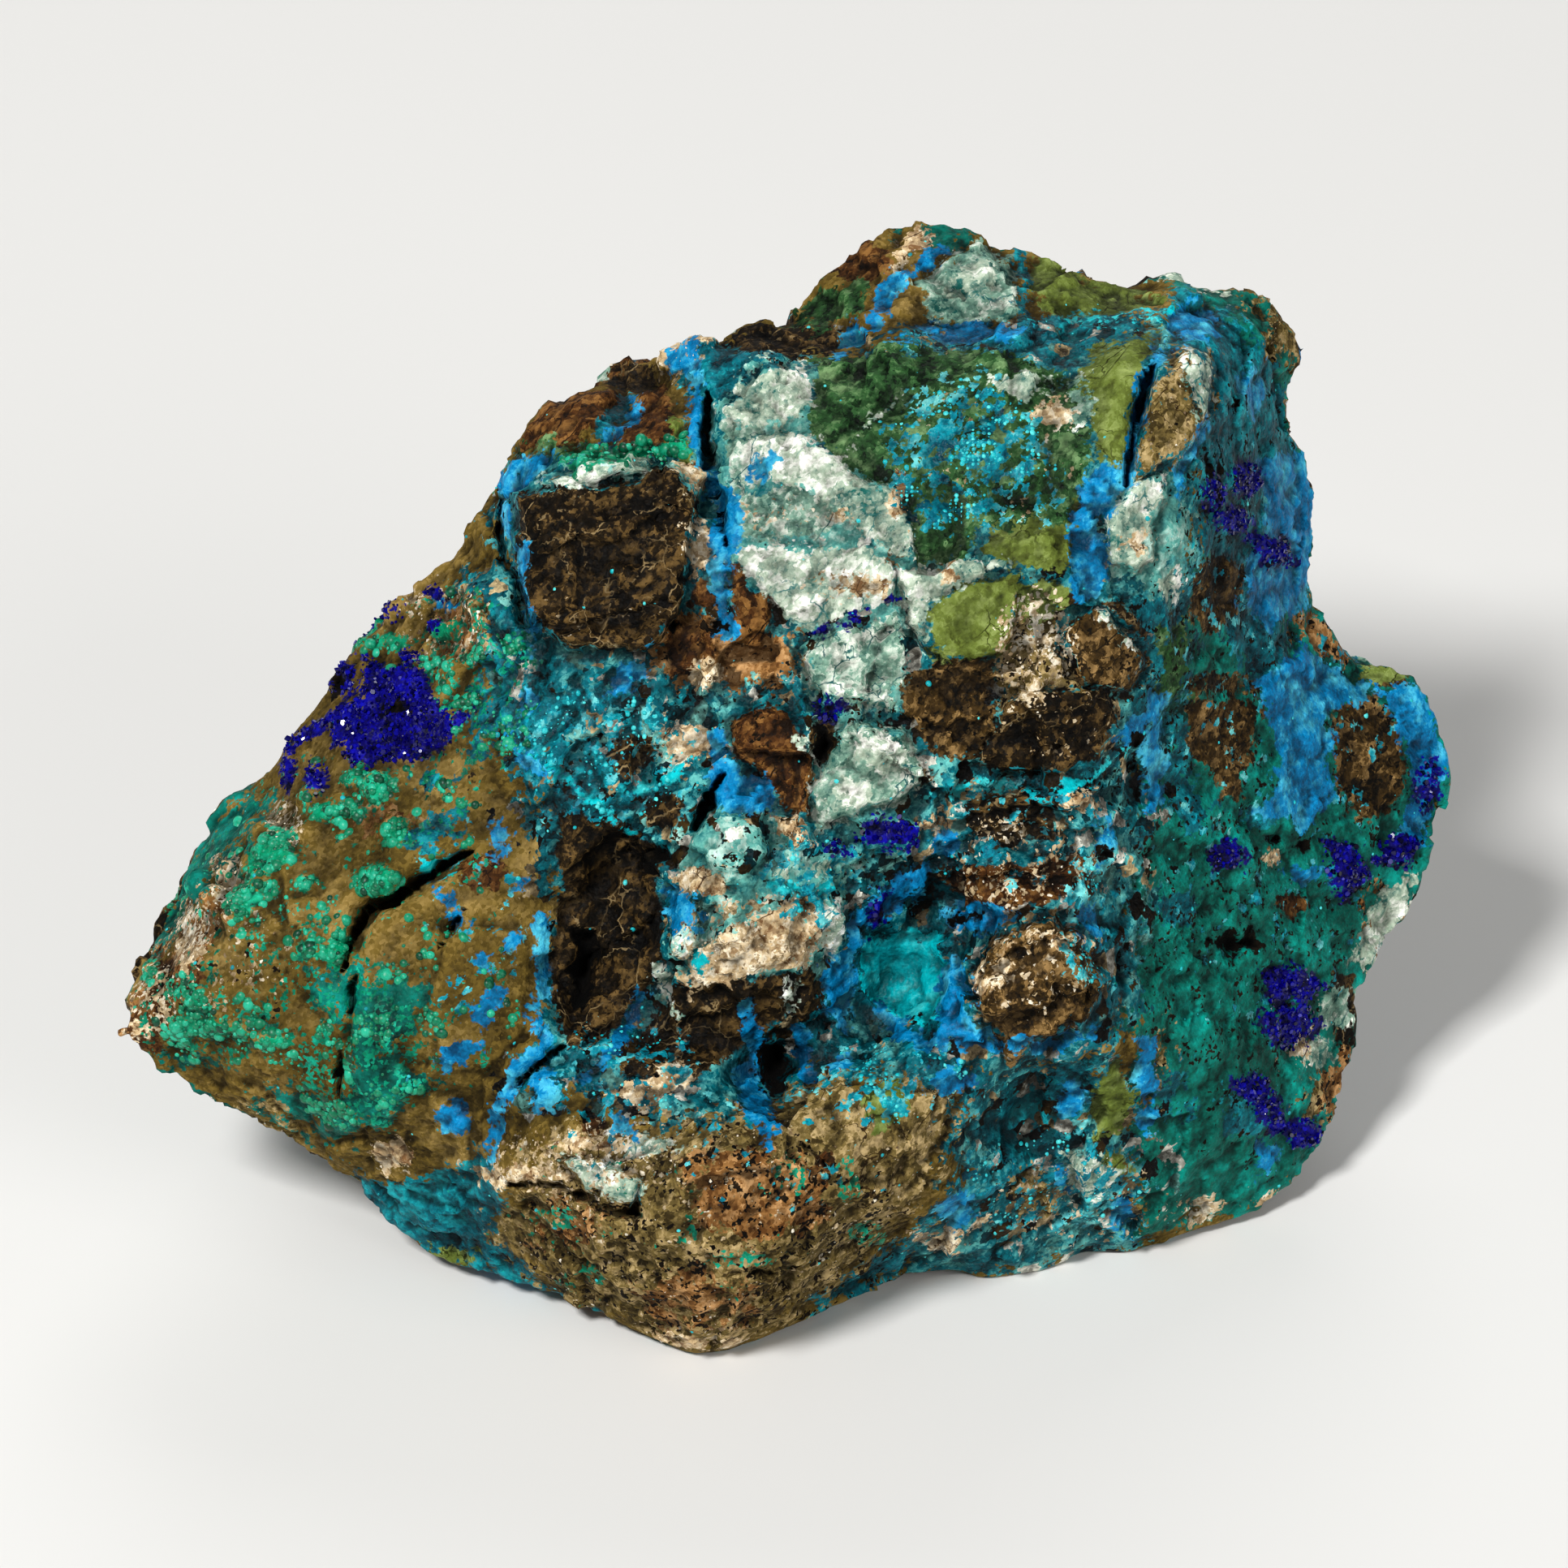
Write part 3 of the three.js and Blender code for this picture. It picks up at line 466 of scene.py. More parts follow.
# Loose specks: centre and half sizes of an area in grid units, and the share of it that they cover.
SPECKS = {
    "rubble": [
        (960, 1000, 330, 330, 0.4), (1250, 1000, 180, 330, 0.4), (740, 1330, 130, 60, 0.35),
        (1300, 1430, 140, 130, 0.35), (1180, 420, 230, 30, 0.25), (620, 800, 60, 120, 0.2),
        (1000, 640, 120, 160, 0.12),
    ],
    "dark_specks": [
        (880, 1520, 240, 130, 0.2), (960, 1000, 300, 260, 0.1), (1570, 950, 220, 520, 0.14),
        (745, 625, 110, 40, 0.5), (740, 720, 100, 70, 0.15), (1290, 900, 110, 120, 0.2),
        (250, 1220, 120, 80, 0.1), (950, 420, 70, 30, 0.4),
    ],
    "pale_specks": [
        (1275, 800, 50, 70, 0.5), (1040, 722, 60, 24, 0.16), (1300, 890, 80, 50, 0.1),
        (1250, 1060, 110, 60, 0.2), (730, 740, 110, 70, 0.05), (930, 1150, 100, 50, 0.2),
        (350, 1018, 22, 30, 0.6), (283, 1090, 24, 34, 0.6), (240, 1150, 22, 40, 0.55),
        (190, 1230, 26, 46, 0.5), (250, 1180, 120, 90, 0.14), (720, 1430, 110, 50, 0.25),
        (880, 1480, 240, 130, 0.07), (1270, 1190, 70, 70, 0.12), (1210, 570, 130, 100, 0.08),
        (960, 635, 60, 30, 0.12), (1330, 1480, 120, 60, 0.12), (540, 770, 70, 60, 0.2),
    ],
    "green_specks": [
        (400, 1080, 230, 190, 0.12), (310, 1250, 150, 70, 0.24), (570, 860, 100, 140, 0.2),
        (450, 1290, 90, 110, 0.3), (780, 1520, 260, 130, 0.06), (560, 1240, 100, 110, 0.1),
        (690, 1500, 34, 16, 0.4), (720, 1572, 34, 12, 0.35), (975, 1445, 20, 26, 0.4),
        (845, 1522, 14, 24, 0.35), (908, 1550, 38, 12, 0.4), (1045, 1452, 16, 30, 0.4),
        (1070, 1520, 24, 16, 0.35),
    ],
    "blue_specks": [
        (1185, 560, 95, 95, 0.5), (740, 930, 110, 90, 0.3), (1000, 1080, 60, 60, 0.35),
        (1250, 1020, 110, 80, 0.14), (1340, 1100, 40, 140, 0.3), (760, 1320, 120, 60, 0.25),
        (1100, 1330, 110, 60, 0.25), (590, 1130, 70, 150, 0.12), (1300, 1460, 120, 70, 0.3),
        (1270, 600, 60, 50, 0.2), (900, 1420, 240, 80, 0.1), (1560, 900, 160, 420, 0.12),
    ],
}
SPECKS_EVERYWHERE = 0.015
SPECKS_BEHIND = 0.08
RUBBLE_BEHIND = 0.3

# How each mineral looks: sRGB tones from dark to light, and how far its edge wanders in grid units.
Look = namedtuple("Look", "tones roughness ragged grain lines", defaults=(0, 0, None))
PALETTE = {
    "limonite": Look([(48, 37, 9), (98, 79, 31), (146, 121, 68)], roughness=0.85),
    "verdigris": Look([(0, 28, 24), (0, 96, 82), (0, 152, 138)], roughness=0.6, ragged=22, grain=0.3),
    "seam": Look([(0, 26, 32), (0, 90, 100), (96, 180, 172)], roughness=0.55, ragged=22, grain=0.6),
    "milk": Look([(6, 92, 98), (88, 158, 146), (196, 222, 208)], roughness=0.45, ragged=14, grain=0.5),
    "ochre": Look([(76, 46, 18), (134, 94, 50), (184, 142, 94)], roughness=0.85, ragged=18, grain=1.0),
    "sand": Look([(48, 38, 16), (108, 91, 49), (176, 152, 106)], roughness=0.9, ragged=20, grain=1.0,
                 lines=(48, 34, 14)),
    "rust": Look([(18, 8, 2), (68, 39, 13), (124, 86, 42)], roughness=0.75, ragged=6, grain=1.0,
                 lines=(26, 12, 3)),
    "bronze": Look([(14, 9, 2), (64, 46, 18), (140, 110, 66)], roughness=0.75, ragged=9, grain=1.0,
                   lines=(26, 18, 5)),
    "umber": Look([(3, 2, 0), (28, 19, 6), (92, 70, 36)], roughness=0.7, ragged=6, grain=1.0,
                  lines=(124, 104, 70)),
    "olive": Look([(54, 60, 16), (92, 106, 42), (134, 148, 82)], roughness=0.7, ragged=8, grain=0.5,
                  lines=(44, 50, 8)),
    "forest": Look([(4, 24, 6), (42, 80, 40), (108, 140, 92)], roughness=0.65, ragged=12, grain=0.8),
    "teal": Look([(0, 22, 30), (0, 88, 100), (20, 150, 158)], roughness=0.55, ragged=14, grain=0.6),
    "jade": Look([(14, 70, 64), (116, 152, 132), (236, 238, 224)], roughness=0.4, ragged=10, grain=0.6,
                 lines=(30, 84, 84)),
    "quartz": Look([(24, 90, 82), (162, 178, 156), (255, 252, 244)], roughness=0.35, ragged=9, grain=0.6,
                   lines=(52, 110, 106)),
    "cream": Look([(112, 80, 48), (196, 170, 128), (240, 228, 202)], roughness=0.5, ragged=11, grain=0.9,
                  lines=(74, 50, 24)),
    "turquoise": Look([(0, 128, 138), (0, 180, 188), (80, 220, 218)], roughness=0.45, ragged=10,
                      grain=0.3),
    "azure": Look([(0, 64, 102), (0, 119, 172), (80, 194, 216)], roughness=0.5, ragged=9, grain=0.4),
    "malachite": Look([(0, 60, 38), (0, 126, 86), (34, 180, 142)], roughness=0.4, ragged=8, grain=0.4),
    "azurite": Look([(0, 0, 26), (4, 0, 92), (8, 8, 150)], roughness=0.5, ragged=10, grain=0.8),
    # Near black for holes and cracks: painted shade.
    "void": Look([(0, 0, 0), (7, 5, 2), (24, 18, 10)], roughness=0.95, ragged=8, grain=0.8),
    "rubble": Look([(60, 52, 40), (150, 150, 150), (255, 255, 255)], roughness=0.6, grain=0.7),
    "dark_specks": Look([(2, 1, 0), (16, 10, 3), (40, 28, 12)], roughness=0.8, grain=0.6),
    "green_specks": Look([(0, 66, 46), (0, 122, 90), (24, 170, 140)], roughness=0.45, grain=0.5),
    "blue_specks": Look([(0, 70, 88), (8, 138, 154), (120, 212, 206)], roughness=0.4, grain=0.6),
    "pale_specks": Look([(96, 74, 44), (174, 152, 116), (234, 226, 206)], roughness=0.5, grain=0.8),
}
RUBBLE = [
    (12, 8, 3), (58, 42, 14), (0, 58, 66), (0, 116, 126), (110, 178, 168), (196, 172, 126),
    (232, 230, 214),
]
LAYERS = [
    "verdigris", "seam", "teal", "milk", "rubble", "sand", "ochre", "rust", "bronze", "umber", "olive",
    "forest", "dark_specks", "jade", "quartz", "cream", "pale_specks", "green_specks", "blue_specks",
    "turquoise", "azure", "malachite", "azurite", "void",
]
STORED = [*MINERALS, *SPECKS, "hollow"]  # the values that the skin keeps on its vertices

# Patterns of the material: sizes in metres with the noise's detail, and sizes of the cells.
BROAD_NOISE = (0.004, 2)
MIDDLE_NOISE = (0.0012, 3)
FINE_NOISE = (0.0003, 2)
BUMP_NOISE = (0.00022, 1)
LOOSE_GRAIN_NOISE = (0.0002, 2)
NOISE_ROUGHNESS = 0.62
NOISE_GAIN = 7.0
SHARD_CELL = 0.00085
GRAIN_CELL = 0.00042
CRUMB_CELL = 0.0002
LINE_CELL = 0.0019
CELL_GAIN = 3.0
CELL_BEND = 0.2  # how far a noise bends the cells, as a share of their size
LINE_BEND = 0.1
LINE_EDGE = (0.008, 0.026)
LINE_FADE = (-0.4, 0.6)

# How much of each pattern goes into a mineral's edge, shade, grit and specks.
EDGE_SHARES = (0.9, 0.4)
SHADE_SHARES = (0.15, 0.15)
GRIT_SHARES = (0.18, 0.12)
SPECK_SHARES = (0.7, 0.8)
GROUND_SHARES = (0.18, 0.105)
LOOSE_GRAIN_SHARES = (0.3, 0.105)
MIDDLE_TONE = 0.5
TONE_PLACES = (0.12, 0.5, 0.9)  # where the dark, middle and light tones lie
MINERAL_EDGE = (-2.0, 2.0)  # grid units
SPECK_EDGE = (-0.05, 0.08)
SPECK_SPREAD = 1.7  # how steeply the share that specks cover falls with the level set for the noise

# Painted shade: hollows are painted dark and raised edges painted lighter, but less so in glassy minerals.
HOLLOWS = [(8, 0.00012), (60, 0.0005)]  # passes of evening, and depth in metres of a full hollow
HOLLOW_SHARE = 0.6
HOLLOW_NOISE = 0.12
HOLLOW_EDGE = (-0.7, 0.7)
EDGE_GAIN = 1.35  # how much lighter the raised edges are painted
HOLLOW_GAIN = 0.22  # how much of the colour is left in the hollows under the painted shade
GLASSY = ("quartz", "turquoise", "milk", "jade")
GLASSY_SHARE = 0.5
ROUGHNESS_NOISE = 0.08
BUMP_STRENGTH = 0.8
BUMP_DEPTH = 0.00012
STONE_SPECULAR = 0.1
GRAIN_SPECULAR = 0.35

# How much of the unseen sides each mineral covers: the higher the level, the less there is.
UNSEEN_LEVEL = {
    "umber": 0.16, "rust": 0.22, "sand": 0.2, "bronze": 0.25, "verdigris": 0.1, "teal": 0.22,
    "jade": 0.42, "quartz": 0.5, "azure": 0.46, "malachite": 0.5, "azurite": 0.62,
}

# Relief of the show face: by how many millimetres a clast stands proud.
RAISED = {
    "dark_block": 0.9, "rust_left": 0.5, "rust_right": 0.5, "rust_clast": 0.5, "rust_wedge": 0.4,
    "round_clast": 0.7, "brown_right": 0.5, "lower_clast": 0.7, "left_clast": 0.25, "top_quartz": 0.35,
    "quartz_band": 0.4, "quartz_lump": 0.3, "pale_strip": 0.3, "pale_green": 0.4, "pale_block": 0.8,
    "crown_quartz": 0.5, "right_crystals": 0.8, "pillar": 0.6, "white_ledge": 1.0, "cream_knob": 0.5,
    "marbled": 0.35, "shelf": 0.7, "olive_square": 0.5, "yellow_tooth": 0.7, "brain_lump": 0.7,
    "pocket": -0.8, "wedge": 0.5,
}

# Layered clasts: ledge in millimetres, spacing in grid units, and how the layers slope.
LAYERED = {
    "dark_block": (0.5, 30, 0.16), "layered": (0.8, 30, 0.1), "lower_clast": (0.5, 30, 0.3),
    "cave": (0.7, 44, 0.8), "under_marble": (0.5, 36, 0.3), "brown_right": (0.35, 30, 0.2),
    "brown_middle": (0.35, 30, 0.2),
}

# How broken the ground is: centre and half sizes of an area in grid units, and a share.
RUGGED = [
    (950, 1000, 300, 240, 1.1), (880, 1480, 290, 180, 0.6), (1260, 1020, 130, 260, 1.0),
    (420, 1110, 270, 250, 0.1), (300, 1180, 130, 110, 0.3), (1570, 1000, 210, 540, 0.3),
    (1190, 560, 130, 120, 0.35), (1375, 480, 50, 100, 0.15), (1110, 1205, 60, 55, 0.15),
    (1190, 765, 50, 40, 0.15), (1000, 640, 110, 140, 0.35),
]
RUGGED_EVERYWHERE = 0.7
RUGGED_BEHIND = 0.8
RUGGED_FADE = (1.3, 0.8)
SPECK_FADE = (1.3, 0.7)

# Noises of the relief: the size of the lumps in metres and a seed.
CLAST_NOISE = (0.0012, 2)
CRACK_NOISE = (0.0015, 4)
HOLE_NOISE = (0.0011, 11)
LAYER_NOISE = (0.005, 9)
LAYER_RIPPLE = (0.001, 10)
CLUMP_NOISE = (0.0022, 21)
UNSEEN_LUMP = 0.011  # metres
UNSEEN_SEED = 3  # the first mineral's seed; the others follow
UNSEEN_GAIN = 110
CLOUD_STRIDE = (17.3, 5.1, 9.7)  # how far a noise moves along each axis from one seed to the next
CHIP_STRIDE = (3.1, 11.9, 7.7)
BUBBLE_STRIDE = (2.3, 6.1, 13.7)
FRACTAL_FALL = 1.0  # how fast the finer lumps of a noise get lower
FRACTAL_STEP = 2.0  # and how much finer each is

# Edges of the relief, in grid units: how far they wander, and where they begin and end.
CLAST_WANDER = 5
CLAST_EDGE = (-3, 5)
CRACK_WANDER = 5
CRACK_TIP = 0.2  # half of a crack's width at its tips, as a share of the width given
CRACK_BODY = 0.5  # and what it gains along the crack
CRACK_TAPER = (-4, 40)
CRACK_FLOOR = 0.3  # how much of a crack's width is as deep as it gets
HOLE_SHRINK = 3
HOLE_WANDER = 9
HOLE_EDGE = (-3, 12)
HOLE_DEPTH = 1.0  # millimetres
LAYER_WANDER = 30
LAYER_RIPPLE_WANDER = 6
LAYER_EDGE = (-2, 10)
LAYER_COUNT = 200
LAYER_SHIFT = 0.5  # how far a layer stands out or back, as a share of the ledge
LAYER_LIP = 0.5
FAR_OUTSIDE = -200.0
DEPTH_LIMIT = 60

# Grain of the ground: size in metres, seed, octaves of lumps, and height in millimetres where broken.
FACETS = [(0.0046, 1, 0.9), (0.0019, 2, 0.5), (0.0009, 3, 0.2)]
LUMPS = [(0.0026, 6, 3, 0.18, 0.08), (0.0008, 7, 2, 0.08, 0.03)]  # the last is their height all over
CHIP_TILT = 1.6
CHIP_STEP = 0.5
CHIP_SCATTER = 57.0
BUBBLE_REACH = 0.75
GRAPES = ("malachite", "turquoise")
GRAPE_EDGE = (-6, 8)
GRAPE_BUBBLES = (0.0011, 3)
GRAPE_HEIGHT = 0.35
CRUSTS = ("teal", "verdigris")
CRUST_EDGE = (-8, 10)
CRUST_BUBBLES = (0.0016, 4)
CRUST_HEIGHT = 0.2
GLASSES = ("quartz", "cream", "jade")
GLASS_EDGE = (-4, 10)
GLASS_CHIPS = (0.0013, 5)
GLASS_HEIGHT = 0.25
DRUSE_EDGE = (-4, 8)
DRUSE_HEIGHT = 0.25
GLASSY_EDGE = (-8, 6)
BASE_FADE = (0.0004, 0.0016)  # metres above the floor between which the grain sets in

# Open cracks: width in grid units, depth in millimetres, and line.
CRACKS = [
    (11, 2.0, [(424, 1196), (432, 1155), (455, 1122), (500, 1096), (545, 1067), (582, 1048)]),
    (10, 1.2, [(436, 1200), (431, 1265)]),
    (11, 1.4, [(420, 1296), (417, 1348)]),
    (10, 1.2, [(540, 1170), (555, 1150), (571, 1120)]),
    (10, 1.2, [(612, 602), (620, 690), (640, 712), (639, 758), (660, 804)]),
    (15, 2.2, [(876, 488), (869, 532), (873, 572)]),
    (10, 1.6, [(885, 608), (889, 648), (894, 668)]),
    (13, 1.8, [(1420, 450), (1398, 530), (1387, 598)]),
    (16, 2.0, [(890, 955), (874, 985), (856, 1022)]),
    (10, 1.2, [(692, 1290), (660, 1312), (640, 1336)]),
    (9, 1.0, [(790, 1450), (781, 1498), (775, 1526)]),
    (9, 0.8, [(870, 1568), (930, 1562), (1002, 1565)]),
    (9, 0.9, [(990, 1410), (1006, 1424), (1021, 1441)]),
    (12, 1.0, [(632, 1456), (690, 1462), (740, 1488), (790, 1499)]),
    (8, 0.6, [(1104, 700), (1112, 745), (1130, 788), (1165, 815)]),
]

# Small shapes strewn on the skin: sizes in metres, sink and heights as shares of the size.
Strewn = namedtuple("Strewn", "seed count sizes sink lean heights mineral roughness smooth")
STREWN = {
    "malachite_beads": Strewn(1, 2000, (0.00009, 0.00036), 0.4, 0.2, (0.6, 0.9), "malachite", 0.4, True),
    "chrysocolla_drops": Strewn(2, 1100, (0.00006, 0.00018), 0.45, 0.2, (0.5, 0.9), "turquoise", 0.4, True),
    "azurite_crystals": Strewn(3, 2500, (0.00008, 0.00018), 0.9, 0.5, (0.6, 1.0), "azurite", 0.13, False),
    "pale_grains": Strewn(4, 2200, (0.00005, 0.00018), 0.5, 0.5, (0.6, 1.0), "pale_specks", 0.5, False),
}
STREWN_WIDTHS = (0.75, 1.1)
STREWN_TONES = 0.8
STREWN_LOWEST = 0.0001  # metres above the floor
CLUMP_EDGE = (-0.1, 0.45)
ROCK_EDGE = (-6, 6)  # grid units, as for the other edges here
BARE_EDGE = (-4, 4)
BEAD_EDGE = (-8, 6)
GRAVEL_EDGE = (-5, 5)
BEADS_INSIDE = 0.7  # how thickly beads lie in the drawn malachite and among the green specks
BEADS_AROUND = 5.0
DROP_LEVEL = 0.15
DROPS_EVERYWHERE = 0.001
GRAVEL_ON_SAND = 0.3
GRAVEL_AROUND = 6
DRUSE_TIP = 0.82  # a crystal's width at its top
DRUSE_SLANT = 0.5
LUMP_REACH = (0.65, 1.15)

# Studio: place, size in metres and power in watts of each lamp.
LAMPS = {
    "key": ((-0.35, -0.45, 0.75), 0.18, 8.6),
    "fill": ((0.6, -0.5, 0.4), 0.5, 2.4),
    "back": ((0.1, 0.8, 0.6), 0.5, 3.0),
}
SURROUND = 0.13
FLOOR_SIDE = 4
FLOOR_COLOUR = (226, 225, 222)
FLOOR_ROUGHNESS = 0.9
SENSOR = 36  # millimetres
NEAREST = 0.01  # metres in front of the camera


def smoothstep(low, high, value):
    share = np.clip((value - low) / (high - low), 0, 1)
    return share * share * (3 - 2 * share)


def on_grid(points):
    """Where points of the stone lie on the drawing grid."""
    offset = points - SHOW_FACE_CENTRE
    out = offset @ OUTWARD
    spread = GRID * (1 - out / VIEW_DISTANCE)
    return np.stack([GRID_CENTRE + offset[:, 0] / spread, GRID_CENTRE - (offset @ UPWARD) / spread], axis=1)


def distance_to_line(places, line):
    """Distance from each place to a line of points, in grid units."""
    nearest = np.full(len(places), np.inf)
    for start, end in zip(line[:-1], line[1:]):
        start = np.array(start, float)
        along = np.array(end, float) - start
        share = np.clip((places - start) @ along / (along @ along), 0, 1)
        nearest = np.minimum(nearest, np.hypot(*(places - start - share[:, None] * along).T))
    return nearest


def inside_outline(places, outline):
    """How far each place lies inside an outline, in grid units, less than nothing outside it."""
    closed = outline + outline[:1]
    inside = np.zeros(len(places), bool)
    for (x0, y0), (x1, y1) in zip(closed[:-1], closed[1:]):
        crosses = (y0 > places[:, 1]) != (y1 > places[:, 1])
        if y0 != y1:
            inside ^= crosses & (places[:, 0] < (x1 - x0) * (places[:, 1] - y0) / (y1 - y0) + x0)
    return np.where(inside, 1, -1) * distance_to_line(places, closed)


def spot_reach(places, x, y, half_width, half_height):
    """0 at the middle of an ellipse and 1 on its rim."""
    return np.hypot((places[:, 0] - x) / half_width, (places[:, 1] - y) / half_height)


def inside_mineral(places, regions):
    """How far each place lies inside a mineral's regions, in grid units."""
    depth = np.full(len(places), FAR_OUTSIDE)
    for outline in regions.get("patches", []) + [CLASTS[clast] for clast in regions.get("clasts", [])]:
        depth = np.maximum(depth, inside_outline(places, outline))
    for width, line in regions.get("veins", []):
        depth = np.maximum(depth, width / 2 - distance_to_line(places, line))
    for spot in regions.get("spots", []):
        depth = np.maximum(depth, (1 - spot_reach(places, *spot)) * min(spot[2:]))
    return depth


def moved_by_seed(seed, stride):
    return Vector([step * seed for step in stride])


def cloud(points, size, seed, octaves=3):
    """Smooth noise from about -1 to 1, with lumps of a size in metres."""
    shift = moved_by_seed(seed, CLOUD_STRIDE)
    places = [Vector(point) / size + shift for point in points]
    return np.array([noise.fractal(place, FRACTAL_FALL, FRACTAL_STEP, octaves) for place in places])


def chips(points, size, seed):
    """Flat chipped facets: each cell of broken stone has its own tilt and height."""
    shift = moved_by_seed(seed, CHIP_STRIDE)
    middle = Vector((0.5, 0.5, 0.5))
    heights = np.empty(len(points))
    for i, point in enumerate(points):
        place = Vector(point) / size + shift
        centre = noise.voronoi(place)[1][0]
        tilt = noise.cell_vector(centre * CHIP_SCATTER) - middle
        heights[i] = CHIP_TILT * (place - centre).dot(tilt) + CHIP_STEP * tilt.x
    return heights


def bubbles(points, size, seed):
    """Rounded grape-like lumps, 0 in the furrows and 1 on top."""
    shift = moved_by_seed(seed, BUBBLE_STRIDE)
    reach = np.array([noise.voronoi(Vector(p) / size + shift)[0][0] for p in points])
    return np.sqrt(np.clip(1 - (reach / BUBBLE_REACH) ** 2, 0, 1))


def vertex_array(mesh, name="co"):
    values = np.empty(3 * len(mesh.vertices))
    mesh.vertices.foreach_get(name, values)
    return values.reshape(-1, 3)


def neighbour_average(mesh):
    """A function that gives each vertex the mean of what the vertices joined to it hold."""
    ends = np.empty(2 * len(mesh.edges), np.int32)
    mesh.edges.foreach_get("vertices", ends)
    here = np.concatenate([ends[0::2], ends[1::2]])
    there = np.concatenate([ends[1::2], ends[0::2]])
    size = len(mesh.vertices)
    count = np.bincount(here, minlength=size)

    def average(values):
        return np.stack([np.bincount(here, column[there], size) / count for column in values.T], axis=1)

    return average


def evened(mesh):
    """The vertices evened out between their neighbours, in and out again."""
    average = neighbour_average(mesh)
    points = vertex_array(mesh)
    for share in EVEN_PASSES * EVEN_SHARES:
        points = points + share * (average(points) - points)
    return points


def hollowness(points, normals, average, passes, depth):
    """1 for a vertex that lies a depth below the ground around it, -1 for one that stands as much above."""
    around = points
    for _ in range(passes):
        around = 0.5 * around + 0.5 * average(around)
    return np.clip(np.sum((around - points) * normals, axis=1) / depth, -1, 1)


def fine_skin(node):
    """A fine mesh over a CAD node, with four faces for one where the show face can be seen."""
    piece = bpy.data.objects.new("stone_skin", node.data.copy())
    bpy.context.scene.collection.objects.link(piece)
    bpy.context.view_layer.objects.active = piece
    piece.select_set(True)
    piece.data.remesh_voxel_size = VOXEL
    piece.data.materials.clear()
    bpy.ops.object.voxel_remesh()
    piece.data.vertices.foreach_set("co", evened(piece.data).ravel())
    piece.data.update()
    shape = bmesh.new()
    shape.from_mesh(piece.data)
    shown = {e for face in shape.faces if face.normal.dot(Vector(OUTWARD)) > SHOWN for e in face.edges}
    bmesh.ops.subdivide_edges(shape, edges=list(shown), cuts=1, use_grid_fill=True, smooth=1.0)
    shape.to_mesh(piece.data)
    shape.free()
    piece.data.update()
    return piece


def seen_share(normals, average):
    """1 where the ground turns to the drawing's camera, 0 where it turns away: small lips don't count."""
    for _ in range(FACING_PASSES):
        normals = average(normals)
    return smoothstep(0.0, FACING, (normals @ OUTWARD) / np.linalg.norm(normals, axis=1))


def mineral_depths(points, seen):
    """How far inside each mineral every vertex lies, in grid units: drawn in front, grown behind."""
    places = on_grid(points)
    depths = {}
    for seed, (name, regions) in enumerate(MINERALS.items(), UNSEEN_SEED):
        drawn = inside_mineral(places, regions)
        if name == "void":
            drawn = drawn - HOLE_SHRINK + HOLE_WANDER * cloud(points, *HOLE_NOISE)
        behind = np.full(len(points), FAR_OUTSIDE)
        if name in UNSEEN_LEVEL:
            behind = UNSEEN_GAIN * (cloud(points, UNSEEN_LUMP, seed) - UNSEEN_LEVEL[name])
        drawn, behind = np.clip([drawn, behind], -DEPTH_LIMIT, DEPTH_LIMIT)
        depths[name] = seen * drawn + (1 - seen) * behind
    return depths


def cover(depths, names, start, end):
    """0 outside several minerals and 1 inside, between two depths in grid units."""
    return smoothstep(start, end, np.max([depths[name] for name in names], axis=0))


def speck_shares(points, seen):
    """For each kind of loose speck, the share of the ground that it covers at every vertex."""
    places = on_grid(points)
    shares = {}
    for name, areas in SPECKS.items():
        spread = np.full(len(points), SPECKS_EVERYWHERE)
        for *spot, share in areas:
            spread = np.maximum(spread, share * smoothstep(*SPECK_FADE, spot_reach(places, *spot)))
        behind = RUBBLE_BEHIND if name == "rubble" else SPECKS_BEHIND
        shares[name] = seen * spread + (1 - seen) * behind
    return shares


def clast_lift(points, places):
    """Clasts that stand proud of the ground between them, in millimetres."""
    wander = CLAST_WANDER * cloud(points, *CLAST_NOISE)
    lift = np.zeros(len(points))
    for clast, rise in RAISED.items():
        lift += rise * smoothstep(*CLAST_EDGE, inside_outline(places, CLASTS[clast]) + wander)
    return lift


def crack_depth(points, places):
    """Open cracks, in millimetres."""
    wander = CRACK_WANDER * cloud(points, *CRACK_NOISE)
    depth = np.zeros(len(points))
    for width, deep, line in CRACKS:
        from_tips = np.min([np.hypot(*(places - np.array(tip)).T) for tip in (line[0], line[-1])], axis=0)
        half = width * (CRACK_TIP + CRACK_BODY * smoothstep(*CRACK_TAPER, from_tips))
        depth += deep * smoothstep(half, CRACK_FLOOR * half, distance_to_line(places, line) + wander)
    return depth


def strata(points, places):
    """Ledges of the layered clasts: each layer stands out below and falls back above, in millimetres."""
    wander = LAYER_WANDER * cloud(points, *LAYER_NOISE) + LAYER_RIPPLE_WANDER * cloud(points, *LAYER_RIPPLE)
    shifts = np.random.default_rng(SEED).uniform(-LAYER_SHIFT, LAYER_SHIFT, LAYER_COUNT)
    ledges = np.zeros(len(points))
    for clast, (deep, spacing, slope) in LAYERED.items():
        layer = (places[:, 1] + slope * places[:, 0] + wander) / spacing
        inside = smoothstep(*LAYER_EDGE, inside_outline(places, CLASTS[clast]))
        number = np.floor(layer).astype(int) % LAYER_COUNT
        ledges += deep * inside * (LAYER_LIP * (layer % 1) ** 2 + shifts[number])
    return ledges


def ruggedness(places, seen):
    """How broken the ground is: 1 is much, 0 is smooth."""
    rugged = np.full(len(places), RUGGED_EVERYWHERE)
    for *spot, share in RUGGED:
        rugged += smoothstep(*RUGGED_FADE, spot_reach(places, *spot)) * (share - rugged)
    return seen * rugged + (1 - seen) * RUGGED_BEHIND


